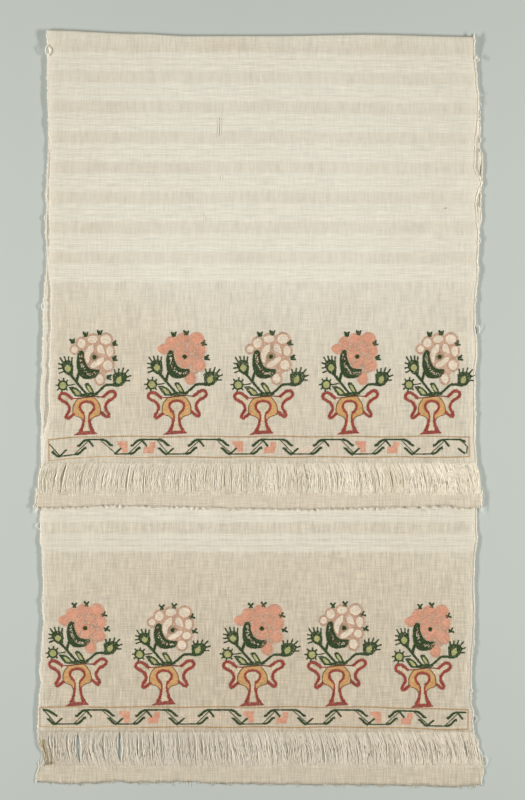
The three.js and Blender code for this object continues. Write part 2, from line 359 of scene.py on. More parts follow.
@dataclass(frozen=True)
class LoomedCotton:
    """Plain-woven hand-spun cotton with dense white weft bands: slubby, matt and slightly uneven.

    The pattern reads the cloth's own UV map, in metres: u across the width and v along the warps,
    from 0 at the fold, positive on the front layer and negative on the back layer.
    """

    name: str = "hand-loomed cotton"
    plain: str = "#E0D9C6"
    dense: str = "#E6E1D0"
    aged: str = "#CDBFA7"
    edge: str = "#E9DFCB"
    handled: str = "#D2CAB4"
    stained: str = "#C4A883"
    band_first: float = 30.6
    band_pitch: float = 33.6
    band_half: float = 10.1
    front_bands: int = 8
    back_bands: int = 17
    ridge_pitch: float = 6.6
    yarn_pitch: float = 0.55
    width: float = 483.0
    texture: float = 1.0
    # place along the cloth, share of yellowing there
    ageing: tuple = (
        (-700, 0.98), (-600, 0.7), (-540, 0.42), (-480, 0.2), (0, 0), (7, 0.05), (13, 0.3), (20, 0.3),
        (45, 0.05), (270, 0.04), (310, 0.22), (400, 0.6), (481, 0.66),
    )
    stains: tuple = (
        Stain(205, 12, 52, 10, 0.2), Stain(372, 10, 60, 7, 0.12), Stain(49, 219, 14, 6, 0.12),
        Stain(30, 345, 170, 90, 0.16), Stain(60, 120, 110, 150, 0.1), Stain(30, 250, 50, 60, 0.1),
        Stain(4, 240, 24, 260, 0.1),
    )
    has_bands: bool = True

    def make(self) -> Material:
        """Builds the material.

        Returns:
            The material.
        """
        material, tree, shader = new_material(self.name)
        uv = add(tree, "ShaderNodeUVMap", uv_map="weave").outputs[0]
        axes = add(tree, "ShaderNodeSeparateXYZ", {0: uv})
        across, along = axes.outputs[0], axes.outputs[1]
        worn = self._worn_share(tree, uv, along)
        dense = self._dense_share(tree, uv, along) if self.has_bands else 0.0
        light = self._slub_light(tree, uv, along, worn, dense)
        value = add(tree, MATH, (light, self._thin_light(tree, uv, dense)), operation="MULTIPLY")
        tint = add(tree, TINT, {"Value": value, "Color": self._colour(tree, uv, across, worn, dense)})
        bump = self._relief(tree, across, along, light)
        feed(shader, {"Base Color": tint, "Normal": bump, "Roughness": 0.95})
        feed(shader, {"Specular IOR Level": 0.15, "Sheen Weight": 0.08})
        return material

    def _stretched_noise(self, tree: Tree, uv: Socket, across: float, along: float, detail: float) -> Node:
        """Noise with its own scale, in turns for each metre, across and along the cloth."""
        stretch = add(tree, "ShaderNodeMapping", {"Vector": uv, "Scale": (across, along, 1.0)})
        return add(tree, NOISE, {"Vector": stretch, "Scale": 1.0, "Detail": detail})

    def _colour(self, tree: Tree, uv: Socket, across: Socket, worn: Node, dense: Node | float) -> Node:
        """Colour of the plain weave and the dense bands, with stains and worn, yellowed and soiled parts.

        Args:
            tree: the material's nodes.
            uv: the UV map, in metres.
            across: place across the cloth.
            worn: share of yellowing.
            dense: share of dense white weft.

        Returns:
            The colour.
        """
        plain = add(tree, MIX, {0: worn, 6: srgb(self.plain), 7: srgb(self.aged)}, data_type="RGBA")
        for stain in self.stains:
            share = self._stain_share(tree, uv, stain)
            plain = add(tree, MIX, {0: share, 6: plain, 7: srgb(self.stained)}, data_type="RGBA")
        faded = add(tree, MATH, (worn, 0.5), operation="MULTIPLY")
        white = add(tree, MIX, {0: faded, 6: srgb(self.dense), 7: srgb(self.aged)}, data_type="RGBA")
        colour = add(tree, MIX, {0: dense, 6: plain, 7: white}, data_type="RGBA")
        selvedges = ((130, 0.34, self.handled), (12, 0.6, self.edge)) if self.has_bands else ()
        for depth, most, shade in selvedges:
            share = self._edge_share(tree, across, depth, most)
            colour = add(tree, MIX, {0: share, 6: colour, 7: srgb(shade)}, data_type="RGBA")
        return colour

    def _slub_light(self, tree: Tree, uv: Socket, along: Socket, worn: Node, dense: Node | float) -> Node:
        """Light that each slub catches or loses: the weft's in the dense bands, the warp's between them.

        Thick places run a few centimetres along the warps, and shorter ones along the weft. Single
        yarns, less than half a millimetre apart, are too fine to show: the grain stands for a few at a time.

        Args:
            tree: the material's nodes.
            uv: the UV map, in metres.
            along: place along the cloth.
            worn: share of yellowing.
            dense: share of dense white weft.

        Returns:
            The light, 1 where none is caught or lost.
        """
        warp_slubs = self._stretched_noise(tree, uv, 430.0, 30.0, 2.0)
        warp_yarns = self._stretched_noise(tree, uv, 900.0, 70.0, 1.0)
        weft_yarns = self._stretched_noise(tree, uv, 46.0, 860.0, 1.0)
        warps = add(tree, MATH, (warp_slubs, 0.8, warp_yarns), operation="MULTIPLY_ADD")
        rough = self._roughness_share(tree, along, worn)
        light = 1.0
        # The yarns' noise and its middle, and their strength in the plain weave and in the dense bands.
        for yarns, middle, in_plain, in_bands in ((warps, 0.9, 0.33, 0.19), (weft_yarns, 0.5, 0.26, 0.4)):
            in_plain = add(tree, MATH, (rough, in_plain), operation="MULTIPLY")
            share = add(tree, RANGE, (dense, 0, 1, in_plain, in_bands))
            swing = add(tree, MATH, (yarns, middle), operation="SUBTRACT")
            light = add(tree, MATH, (swing, share, light), operation="MULTIPLY_ADD")
        return light

    def _thin_light(self, tree: Tree, uv: Socket, dense: Node | float) -> Node:
        """Light lost where the plain weave is thin.

        Args:
            tree: the material's nodes.
            uv: the UV map, in metres.
            dense: share of dense white weft.

        Returns:
            The light, 1 where none is lost.
        """
        blotches = self._stretched_noise(tree, uv, 120.0, 45.0, 2.0)
        thin = add(tree, RANGE, (blotches, 0.5, 0.72, 1.0, 0.94))
        return add(tree, MIX, {0: dense, 2: thin, 3: 1.0})

    def _roughness_share(self, tree: Tree, along: Socket, worn: Node) -> Node:
        """Strength of the slubs in the plain weave: less among the bands on the front, more where worn.

        Args:
            tree: the material's nodes.
            along: place along the cloth.
            worn: share of yellowing.

        Returns:
            The strength.
        """
        begun = add(tree, RANGE, (along, 0.0, 0.02))
        ended = add(tree, RANGE, (along, 0.258, 0.275, 1.0, 0.0))
        among = add(tree, MATH, (begun, ended), operation="MULTIPLY")
        calm = 0.66 if self.has_bands else self.texture
        share = add(tree, RANGE, (among, 0, 1, self.texture, calm))
        return add(tree, MATH, (worn, 0.9, share), operation="MULTIPLY_ADD")

    def _worn_share(self, tree: Tree, uv: Socket, along: Socket) -> Node:
        """Share of yellowing along the cloth, spotty at its limits.

        Args:
            tree: the material's nodes.
            uv: the UV map, in metres.
            along: place along the cloth.

        Returns:
            The share.
        """
        first, last = self.ageing[0][0], self.ageing[-1][0]
        span = add(tree, RANGE, (along, first * MM, last * MM))
        ramp = add(tree, "ShaderNodeValToRGB", {"Fac": span})
        stops = ramp.color_ramp.elements
        while len(stops) < len(self.ageing):
            stops.new(0.5)
        for stop, (place, share) in zip(stops, self.ageing):
            stop.position = (place - first) / (last - first)
            stop.color = (share, share, share, 1.0)
        patches = self._stretched_noise(tree, uv, 14.0, 9.0, 3.0)
        spotty = add(tree, MATH, (patches, 0.5, ramp), operation="MULTIPLY_ADD")
        return add(tree, MATH, (spotty, 0.25), operation="SUBTRACT", use_clamp=True)

    def _stain_share(self, tree: Tree, uv: Socket, stain: Stain) -> Node:
        """Share of a stain's colour: full in its middle, with a ragged edge.

        Args:
            tree: the material's nodes.
            uv: the UV map, in metres.
            stain: the stain.

        Returns:
            The share.
        """
        scale = (1000 / stain.half_across, 1000 / stain.half_along, 1.0)
        shift = (-stain.across / stain.half_across, -stain.along / stain.half_along, 0.0)
        near = add(tree, "ShaderNodeMapping", {"Vector": uv, "Location": shift, "Scale": scale})
        distance = add(tree, "ShaderNodeVectorMath", {0: near}, operation="LENGTH")
        ragged = self._stretched_noise(tree, uv, 90.0, 90.0, 3.0)
        edge = add(tree, MATH, (ragged, 1.2, distance), operation="MULTIPLY_ADD")
        return add(tree, RANGE, (edge, 1.7, 0.7, 0, stain.strength))

    def _edge_share(self, tree: Tree, across: Socket, depth: float, most: float) -> Node:
        """Share of a colour that rises towards both selvedges.

        Args:
            tree: the material's nodes.
            across: place across the cloth.
            depth: how far in it reaches, in millimetres.
            most: the share at a selvedge.

        Returns:
            The share.
        """
        half = self.width / 2
        middle = add(tree, MATH, (across, half * MM), operation="SUBTRACT")
        reach = add(tree, MATH, (middle,), operation="ABSOLUTE")
        return add(tree, RANGE, (reach, (half - depth) * MM, (half - 1) * MM, 0, most))

    def _dense_share(self, tree: Tree, uv: Socket, along: Socket) -> Node:
        """Share of dense white weft: highest on a band's three ridges, 0 between the bands.

        Args:
            tree: the material's nodes.
            uv: the UV map, in metres.
            along: place along the cloth.

        Returns:
            The share.
        """
        # Hand beating leaves the weft a little wavy, by a few millimetres in all.
        slow = self._stretched_noise(tree, uv, 6.0, 2.0, 2.0)
        quick = self._stretched_noise(tree, uv, 45.0, 60.0, 2.0)
        drift = add(tree, MATH, (slow, 0.005, along), operation="MULTIPLY_ADD")
        drift = add(tree, MATH, (quick, 0.0022, drift), operation="MULTIPLY_ADD")
        place = add(tree, MATH, (drift, 0.0036), operation="SUBTRACT")

        depth = add(tree, MATH, (place,), operation="ABSOLUTE")
        counted = add(tree, MATH, (depth, self.band_first * MM), operation="SUBTRACT")
        turns = add(tree, MATH, (counted, self.band_pitch * MM), operation="DIVIDE")
        near = add(tree, MATH, (turns, 0.5, -0.5), operation="WRAP")
        offset = add(tree, MATH, (near,), operation="ABSOLUTE")
        edge, soft = self.band_half / self.band_pitch, 1.6 / self.band_pitch
        band = add(tree, RANGE, (offset, edge + soft, edge - soft))

        phase = 2 * math.pi * self.band_pitch / self.ridge_pitch
        inner = add(tree, MATH, (offset, self.ridge_pitch / self.band_pitch), operation="MINIMUM")
        angle = add(tree, MATH, (inner, phase), operation="MULTIPLY")
        wave = add(tree, MATH, (angle,), operation="COSINE")
        ridge = add(tree, RANGE, (wave, -1.0, -0.3, 0.4, 1.0))
        ridged = add(tree, MATH, (band, ridge), operation="MULTIPLY")

        side = add(tree, MATH, (place, 0.0), operation="GREATER_THAN")
        last = add(tree, RANGE, (side, 0, 1, self.back_bands - 0.5, self.front_bands - 0.5))
        inside = add(tree, MATH, (turns, last), operation="LESS_THAN")
        started = add(tree, MATH, (turns, -0.5), operation="GREATER_THAN")
        gate = add(tree, MATH, (inside, started), operation="MULTIPLY")
        return add(tree, MATH, (ridged, gate), operation="MULTIPLY")

    def _relief(self, tree: Tree, across: Socket, along: Socket, light: Node) -> Node:
        """Relief of a plain weave, its yarns over and under each other, with the slubs standing proud.

        Args:
            tree: the material's nodes.
            across: place across the cloth.
            along: place along the cloth.
            light: light that each slub catches or loses.

        Returns:
            The relief, for the shader's normal.
        """
        waves = []
        for axis in (across, along):
            phase = add(tree, MATH, (axis, math.pi / (self.yarn_pitch * MM)), operation="MULTIPLY")
            waves.append(add(tree, MATH, (phase,), operation="SINE"))
        weave = add(tree, MATH, (waves[0], waves[1]), operation="MULTIPLY")
        height = add(tree, MATH, (weave, 0.35, light), operation="MULTIPLY_ADD")
        return add(tree, "ShaderNodeBump", {"Height": height, "Strength": 0.4, "Distance": 0.0006})


@dataclass(frozen=True)
class PaintedBoard:
    """Matt pale grey-green board that the towel lies on, with a faint cloudy unevenness."""

    name: str = "matt painted board"
    colour: str = "#BFC5BD"

    def make(self) -> Material:
        """Builds the material.

        Returns:
            The material.
        """
        material, tree, shader = new_material(self.name)
        place = add(tree, "ShaderNodeTexCoord").outputs["Object"]
        clouds = add(tree, NOISE, {"Vector": place, "Scale": 3.0, "Detail": 4.0})
        value = add(tree, RANGE, (clouds, 0, 1, 0.98, 1.02))
        tint = add(tree, TINT, {"Value": value, "Color": srgb(self.colour)})
        feed(shader, {"Base Color": tint, "Roughness": 0.9, "Specular IOR Level": 0.1})
        return material


# ---- piece makers


@dataclass
class Skein:
    """Yarns for one piece: the points that each one follows, its radius and its shade from 0 to 1."""

    paths: list[Array] = field(default_factory=list)
    radii: Sequence[float] = field(default_factory=list)
    shades: Sequence[float] = field(default_factory=list)

    def lay(self, path: Array, radius: float, shade: float) -> None:
        """Adds one yarn.

        Args:
            path: the points that it follows, one row each.
            radius: its radius.
            shade: its shade, from 0 to 1.
        """
        self.paths.append(path)
        self.radii.append(radius)
        self.shades.append(shade)


class Maker:
    """Turns stitches and yarns into meshes with Geometry Nodes."""

    # lowest middle of a yarn over the floor, in radii
    floor_rest = 1.14
    # how much thicker a yarn is made, divided by the square of its section's sides
    few_sides = 1.2
    # the stitch tree's radii for a stitch of length, width and thickness 1
    grain = (0.5, 0.575, 0.5)

    def __init__(self) -> None:
        """Builds the two node trees."""
        self.stitch_tree = self._stitch_tree()
        self.yarn_tree = self._yarn_tree()

    def _new_tree(self, name: str, *counts: str) -> tuple[Tree, Node]:
        """Starts a tree with geometry in and out, a material and named counts.

        Args:
            name: its name.
            counts: names of its counts.

        Returns:
            The tree and its input node.
        """
        tree = bpy.data.node_groups.new(name, "GeometryNodeTree")
        tree.interface.new_socket("Geometry", in_out="OUTPUT", socket_type="NodeSocketGeometry")
        named = [("Geometry", "Geometry"), ("Material", "Material"), *((count, "Int") for count in counts)]
        for label, kind in named:
            tree.interface.new_socket(label, in_out="INPUT", socket_type=f"NodeSocket{kind}")
        return tree, add(tree, "NodeGroupInput")

    def _close_tree(self, tree: Tree, source: Node, shape: Node) -> Tree:
        """Ends a tree: instances made real, smooth shading and the material.

        Args:
            tree: the tree.
            source: its input node.
            shape: the node that gives its geometry.

        Returns:
            The tree.
        """
        real = add(tree, "GeometryNodeRealizeInstances", {"Geometry": shape})
        soft = add(tree, "GeometryNodeSetShadeSmooth", {"Geometry": real})
        inputs = {"Geometry": soft, "Material": source.outputs["Material"]}
        dressed = add(tree, "GeometryNodeSetMaterial", inputs)
        add(tree, "NodeGroupOutput", {"Geometry": dressed})
        return tree

    def _stitch_tree(self) -> Tree:
        """One rice-shaped stitch on each point, its ridge up, turned and sized by the point's attributes.

        Returns:
            The tree.
        """
        tree, source = self._new_tree("stitches", "Sides", "Rings")
        counts = {"Segments": source.outputs["Sides"], "Rings": source.outputs["Rings"], "Radius": 1.0}
        grain = add(tree, "GeometryNodeMeshUVSphere", counts)
        lying = add(tree, "GeometryNodeTransform", {"Geometry": grain, "Rotation": (0.0, -math.pi / 2, 0.0)})
        turn = add(tree, NAMED, {"Name": "turn"}, data_type="FLOAT_VECTOR")
        size = add(tree, NAMED, {"Name": "size"}, data_type="FLOAT_VECTOR")
        rotation = add(tree, "FunctionNodeEulerToRotation", {0: turn})
        points = source.outputs["Geometry"]
        inputs = {"Points": points, "Instance": lying, "Rotation": rotation, "Scale": size}
        placed = add(tree, "GeometryNodeInstanceOnPoints", inputs)
        return self._close_tree(tree, source, placed)

    def _yarn_tree(self) -> Tree:
        """A round yarn along each row of edges, as thick as the points' attribute says.

        Returns:
            The tree.
        """
        tree, source = self._new_tree("yarns", "Sides")
        route = add(tree, "GeometryNodeMeshToCurve", {"Mesh": source.outputs["Geometry"]})
        around = {"Resolution": source.outputs["Sides"], "Radius": 1.0}
        section = add(tree, "GeometryNodeCurvePrimitiveCircle", around)
        radius = add(tree, NAMED, {"Name": "thickness"}, data_type="FLOAT")
        inputs = {"Curve": route, "Profile Curve": section, "Scale": radius, "Fill Caps": True}
        tube = add(tree, "GeometryNodeCurveToMesh", inputs)
        return self._close_tree(tree, source, tube)

    def bake(self, piece: Piece, tree: Tree, material: Material, counts: dict[str, int]) -> Piece:
        """Runs a tree on a piece and keeps the result as its plain mesh.

        Args:
            piece: the object that holds the points.
            tree: the node tree.
            material: the material that the tree sets.
            counts: values for the tree's named inputs.

        Returns:
            The same object, with the finished mesh and no modifier.
        """
        modifier = piece.modifiers.new("make", "NODES")
        modifier.node_group = tree
        keys = {item.name: item.identifier for item in tree.interface.items_tree if item.in_out == "INPUT"}
        modifier[keys["Material"]] = material
        for name, value in counts.items():
            modifier[keys[name]] = value
        evaluated = piece.evaluated_get(bpy.context.evaluated_depsgraph_get())
        mesh = bpy.data.meshes.new_from_object(evaluated)
        piece.modifiers.remove(modifier)
        mesh.name = piece.name
        piece.data = mesh
        return piece

    def yarns(self, name: str, skein: Skein, material: Material, sides: int = 3) -> Piece:
        """Makes one piece of many yarns, each a little thicker where few sides would make it look thin.

        Args:
            name: the piece's name.
            skein: the yarns, which are kept off the floor.
            material: its material.
            sides: sides of a yarn's section.

        Returns:
            The finished piece.
        """
        counts = [len(path) for path in skein.paths]
        radii = np.repeat(skein.radii, counts)
        points = np.vstack(skein.paths)
        points[:, 2] = np.maximum(points[:, 2], self.floor_rest * radii)
        last = np.cumsum(counts) - 1
        joined = np.delete(np.arange(len(points)), last)
        piece = new_object(name, points, np.column_stack([joined, joined + 1]).tolist(), [])
        set_attribute(piece, "thickness", "FLOAT", radii * MM * (1 + self.few_sides / sides**2))
        set_attribute(piece, "shade", "FLOAT", np.repeat(skein.shades, counts))
        return self.bake(piece, self.yarn_tree, material, {"Sides": sides})

    def stitches(self, name: str, rows: Array, material: Material) -> Piece:
        """Makes one piece of many stitches.

        Args:
            name: the piece's name.
            rows: for each stitch its x, y, z, angle, length, width, thickness and shade.
            material: its material.

        Returns:
            The finished piece.
        """
        piece = new_object(name, rows[:, :3], [], [])
        turn = np.zeros((len(rows), 3))
        turn[:, 2] = rows[:, 3]
        set_attribute(piece, "turn", "FLOAT_VECTOR", turn)
        set_attribute(piece, "size", "FLOAT_VECTOR", rows[:, 4:7] * self.grain * MM)
        set_attribute(piece, "shade", "FLOAT", rows[:, 7])
        return self.bake(piece, self.stitch_tree, material, {"Sides": 3, "Rings": 3})


def seat(piece: Piece, slot: str, *nodes: str) -> Piece:
    """Rides a finished piece on the towel's one body and hides the solids that it stands for.

    Args:
        piece: the piece.
        slot: the record's material slot; not used.
        nodes: the solids that it stands for, if any.

    Returns:
        The same piece.
    """
    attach(piece, "root")
    if nodes:
        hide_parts(*nodes)
    LOG.info("%s: %d faces", piece.name, len(piece.data.polygons))
    return piece


# ---- woven body


@dataclass
class WovenBody:
    """The towel's folded body: back layer, fold roll and front layer as one thin sheet."""

    layer: float = 1.2
    roll_radius: float = 1.8
    roll_ease: float = 32.0
    sheet: float = 0.7
    front_end: float = -62.0
    back_end: float = -363.0
    fold_at: float = 418.0
    nominal: Point = (-240, 243)
    covered_below: float = -118.0
    front_rest: float = 2.4
    front_curl: float = -0.95
    back_curl: float = 1.55
    curl_width: float = 6.0
    column_step: float = 4.3
    row_step: float = 4.5
    hidden_step: float = 17.0
    roll_steps: int = 14
    # the dense bands on the front layer stand a little proud
    first_band: float = 30.0
    band_pitch: float = 33.6
    bands: int = 8
    # how much the dense bands by the fold lie askew, and how far that reaches from it
    askew: float = 0.0095
    askew_reach: float = 220.0
    # how far inwards a selvedge's wander shows in the weave
    wander_depth: float = 13.0
    # x, y of the outer edge of the fold
    fold_line: tuple = ((-240, 424), (-140, 420), (-80, 417.5), (20, 417.5), (120, 419), (243, 416.5))
    # y, left, right of the front layer's selvedges
    front_edges: tuple = (
        (424, -237.5, 240.8), (408, -236, 240.8), (401, -234.6, 240.8), (394, -236, 241), (370, -236, 243.6),
        (345, -236, 245.6), (327, -234.8, 245.2), (311, -234, 243.6), (299, -232.8, 242.4),
        (284, -232.6, 242), (270, -232.6, 241), (263, -232.8, 243.4), (257, -233.6, 247.4),
        (251, -234.4, 249), (245, -233.8, 246), (237, -233.2, 243.4), (228, -234.4, 242.4), (211, -234, 244),
        (198, -233.4, 245.4), (185, -233.3, 245), (161, -234.8, 244.2), (150, -234.4, 244.8),
        (135, -232.2, 242.8), (112, -232.3, 241.4), (90, -231.8, 241), (79, -233.2, 243),
        (60, -233.4, 243.3), (41, -233.4, 241), (21, -234.6, 241), (-2, -234, 241.4), (-14, -236, 241.4),
        (-24, -239, 241), (-35, -240.8, 240.8), (-48, -241.8, 242.4), (-62, -242.4, 243),
    )
    # y, left, right of the back layer's selvedges
    back_edges: tuple = (
        (424, -237, 241), (400, -234.8, 241), (385, -235.5, 241.5), (345, -235, 245.4), (318, -234.5, 247.4),
        (292, -235, 246.6), (283, -235.8, 250.4), (255, -236.6, 249.2), (240, -238.2, 248.3),
        (229, -236.8, 247.8), (211, -238.4, 248.8), (200, -238.6, 246), (184, -237, 245),
        (150, -237.2, 244.8), (139, -239.3, 243.2), (118, -241, 241.4), (114, -239.4, 241.3),
        (109, -240.8, 241.2), (90, -241, 241), (77, -241.4, 243), (58, -242, 243.2), (41, -241.4, 240.8),
        (30, -243.2, 241.2), (0, -244, 241.4), (-14, -242.2, 241.6), (-35, -243.2, 241),
        (-62, -242.6, 241.6), (-118, -244.3, 243.2), (-145, -244, 243.6), (-165, -241.8, 241.2),
        (-190, -241, 240.2), (-226, -241.6, 240.8), (-240, -240.2, 240.7), (-255, -242, 240.4),
        (-279, -243.2, 237.6), (-292, -245.2, 237.6), (-306, -243, 237), (-325, -245.8, 236.6),
        (-342, -246.2, 240), (-352, -246.8, 238.4), (-363, -247.6, 240.5),
    )
    # x, y, half width across, half width along, height of the front layer's soft swells and hollows
    swells: tuple = (
        (-190, 350, 50, 60, 0.35), (130, 300, 80, 45, 0.3), (-60, 190, 90, 40, 0.3), (60, 85, 120, 30, 0.3),
        (-222, 6, 24, 40, 0.9), (192, -60, 34, 24, 0.8),
    )
    # x, y, half width across, half width along, height of the creases left by storage and stitching
    creases: tuple = (
        (40, 250, 5, 160, 0.25), (-120, 120, 4, 110, 0.22), (150, 30, 90, 4, 0.22), (-150, -8, 60, 5, 0.25),
        (60, -20, 3.5, 40, 0.3), (-60, -250, 4, 70, 0.25), (110, -215, 80, 4, 0.25),
        (-170, -200, 60, 4, 0.22), (215, -250, 5, 60, 0.3),
    )

    def fold_y(self, x: Array) -> Array:
        """Outer edge of the fold at x."""
        return look_up(self.fold_line, 1, x)

    def _uneven(self, x: Array, y: Array) -> Array:
        """Small unevenness of hand-woven cloth: creases, and puckers between tight and slack warps.

        Args:
            x: places across the cloth.
            y: places along it.

        Returns:
            How far the cloth rises there.
        """
        rise = np.zeros_like(x)
        for cx, cy, half_x, half_y, height in self.creases:
            rise += height * bell(x - cx, half_x) * bell(y - cy, half_y)
        puckers = 0.10 * np.sin(x / 6.1 + 1.3 * np.sin(y / 41)) * (0.6 + 0.4 * np.sin(y / 9.7 + x / 57))
        return rise + puckers

    def _selvedge(self, x: Array, y: Array, edges: tuple, curl: float) -> Array:
        """Height of the curled selvedges.

        Args:
            x: places across the cloth.
            y: places along it.
            edges: y, left and right of the layer's selvedges.
            curl: how far an edge rises.

        Returns:
            How far the cloth rises there.
        """
        inward = np.minimum(x - look_up(edges, 1, y), look_up(edges, 2, y) - x)
        loose = 0.75 + 0.25 * np.sin(y / 17.0) * np.sin(y / 7.3 + 1.0)
        return curl * loose * np.exp(-np.maximum(inward, 0) / self.curl_width)

    def front(self, x: Array, y: Array) -> Array:
        """Height of the middle of the front layer.

        Args:
            x: places across the cloth.
            y: places along it.

        Returns:
            The height there.
        """
        top = self.fold_y(x) - self.roll_radius - self.layer / 2
        sink = smooth((top - y) / self.roll_ease)
        rise = self._uneven(x, y) + self._selvedge(x, y, self.front_edges, self.front_curl)
        for cx, cy, half_x, half_y, height in self.swells:
            rise += height * bell(x - cx, half_x) * bell(y - cy, half_y)
        bands = (self.fold_at - y - self.first_band) / self.band_pitch
        gate = smooth(bands + 0.9) * smooth(self.bands - bands)
        rise += 0.15 * (1 + np.cos(bands * 2 * math.pi)) * gate
        high = self.layer / 2 + 2 * self.roll_radius
        return high + (self.front_rest - high) * sink + sink * rise

    def back(self, x: Array, y: Array) -> Array:
        """Height of the middle of the back layer: flat where the front layer lies on it.

        Args:
            x: places across the cloth.
            y: places along it.

        Returns:
            The height there.
        """
        below = smooth((self.covered_below - y) / 30.0)
        beside = np.maximum(look_up(self.front_edges, 1, y) - x, x - look_up(self.front_edges, 2, y))
        bare = np.maximum(below, smooth((beside - 1.0) / 5.0))
        rise = self._uneven(x, y) * below + self._selvedge(x, y, self.back_edges, self.back_curl)
        return self.layer / 2 + bare * np.maximum(rise, -0.1)

    def front_top(self, x: Array, y: Array) -> Array:
        """Height of the face of the front layer."""
        return self.front(x, y) + self.sheet / 2

    def back_top(self, x: Array, y: Array) -> Array:
        """Height of the face of the back layer."""
        return self.back(x, y) + self.sheet / 2

    def _middle(self) -> tuple[Array, Array]:
        """Middle of the sheet, row by row from the back end to the front end, and its UV map.

        Returns:
            The points as rows by columns by x, y and z, and each one's place in the flat cloth.
        """
        width = self.nominal[1] - self.nominal[0]
        columns = int(width / self.column_step)
        shares = np.linspace(0, 1, columns + 1)
        rim = 2.0 / width
        across = np.concatenate([[0], [rim], shares[1:-1], [1 - rim], [1]])
        rough = self.nominal[0] + across * width
        centre = self.fold_y(rough) - self.roll_radius - self.layer / 2
        rows, uvs = [], []

        def put(x: Array, y: Array, z: Array, along: Array) -> None:
            """Adds one row."""
            rows.append(np.column_stack([x, y, z]))
            uvs.append(np.column_stack([across * width, along]))

        open_part = self.covered_below + 14.0
        visible = np.arange(self.back_end, open_part, self.row_step)
        hidden = int((self.fold_at - open_part) / self.hidden_step)
        start, way = visible[-1] + self.row_step, centre - visible[-1] - self.row_step
        lines = [np.full_like(rough, y) for y in visible]
        lines += [start + way * k / hidden for k in range(hidden)]
        for line in lines:
            x = self._span(self.back_edges, line, across)
            put(x, line, self.back(x, line), line - self.fold_at)
        reach = centre - self.fold_at
        low, high = np.array(self.back_edges[0][1:]), np.array(self.front_edges[0][1:])
        for k in range(self.roll_steps):
            share = k / self.roll_steps
            angle = math.pi * k / self.roll_steps
            left, right = low + (high - low) * share
            x = left + (right - left) * across
            y = centre + self.roll_radius * math.sin(angle)
            z = self.layer / 2 + self.roll_radius * (1 - math.cos(angle))
            put(x, y, np.full_like(x, z), reach * (1 - 2 * share))
        count = int((self.fold_at - self.front_end) / self.row_step)
        for k in range(count + 1):
            line = centre + (self.front_end - centre) * k / count
            x = self._span(self.front_edges, line, across)
            along = self.fold_at - line
            slant = self.askew * x * (1 - smooth(along / self.askew_reach))
            put(x, line, self.front(x, line), along - slant)
        return np.array(rows), np.array(uvs)

    def _span(self, edges: tuple, y: Array, across: Array) -> Array:
        """Places across the cloth between its two selvedges, whose wander dies out inwards.

        Args:
            edges: y, left and right of the layer's selvedges.
            y: places along the cloth.
            across: shares of its width.

        Returns:
            Places across the cloth.
        """
        share = (y - edges[0][0]) / (edges[-1][0] - edges[0][0])
        first, last = np.array(edges[0][1:]), np.array(edges[-1][1:])
        left, right = first[0] + (last[0] - first[0]) * share, first[1] + (last[1] - first[1]) * share
        x = left + (right - left) * across
        x = x + (look_up(edges, 1, y) - left) * np.exp(-(x - left) / self.wander_depth)
        return x + (look_up(edges, 2, y) - right) * np.exp(-(right - x) / self.wander_depth)

    def build(self, material: Material) -> Piece:
        """Builds the sheet as a closed shell and dresses it."""
        middle, uv = self._middle()
        return shell("woven_body", middle, uv, self.sheet, material)


def shell(name: str, middle: Array, uv: Array, thickness: float, material: Material) -> Piece:
    """Thickens a grid into a closed shell with a UV map in metres.

    Args:
        name: the piece's name.
        middle: the middle of the sheet, as rows by columns by x, y and z.
        uv: for each point its place across and along the cloth.
        thickness: the sheet's thickness.
        material: its material.

    Returns:
        The finished piece.
    """
    rows, columns, _ = middle.shape
    down = np.gradient(middle, axis=0)
    side = np.gradient(middle, axis=1)
    normal = np.cross(down, side)
    normal /= np.linalg.norm(normal, axis=2, keepdims=True)
    outer = (middle + normal * thickness / 2).reshape(-1, 3)
    inner = (middle - normal * thickness / 2).reshape(-1, 3)
    index = np.arange(rows * columns).reshape(rows, columns)
    a, b, c, d = index[:-1, :-1], index[1:, :-1], index[1:, 1:], index[:-1, 1:]
    quads = np.stack([a, b, c, d], axis=-1).reshape(-1, 4)
    size = rows * columns
    rim = np.concatenate([index[0, :-1], index[:-1, -1], index[-1, :0:-1], index[:0:-1, 0]])
    ahead = np.roll(rim, -1)
    border = np.stack([rim, ahead, ahead + size, rim + size], axis=-1)
    faces = np.vstack([quads, quads[:, ::-1] + size, border])
    piece = new_object(name, np.vstack([outer, inner]), [], faces.tolist())
    layer = piece.data.uv_layers.new(name="weave")
    flat = np.vstack([uv.reshape(-1, 2), uv.reshape(-1, 2)])[faces.ravel()] * MM
    layer.data.foreach_set("uv", flat.astype(np.float32).ravel())
    piece.data.polygons.foreach_set("use_smooth", np.ones(len(faces), dtype=bool))
    piece.data.materials.append(material)
    piece.data.update()
    return piece


# ---- needlework


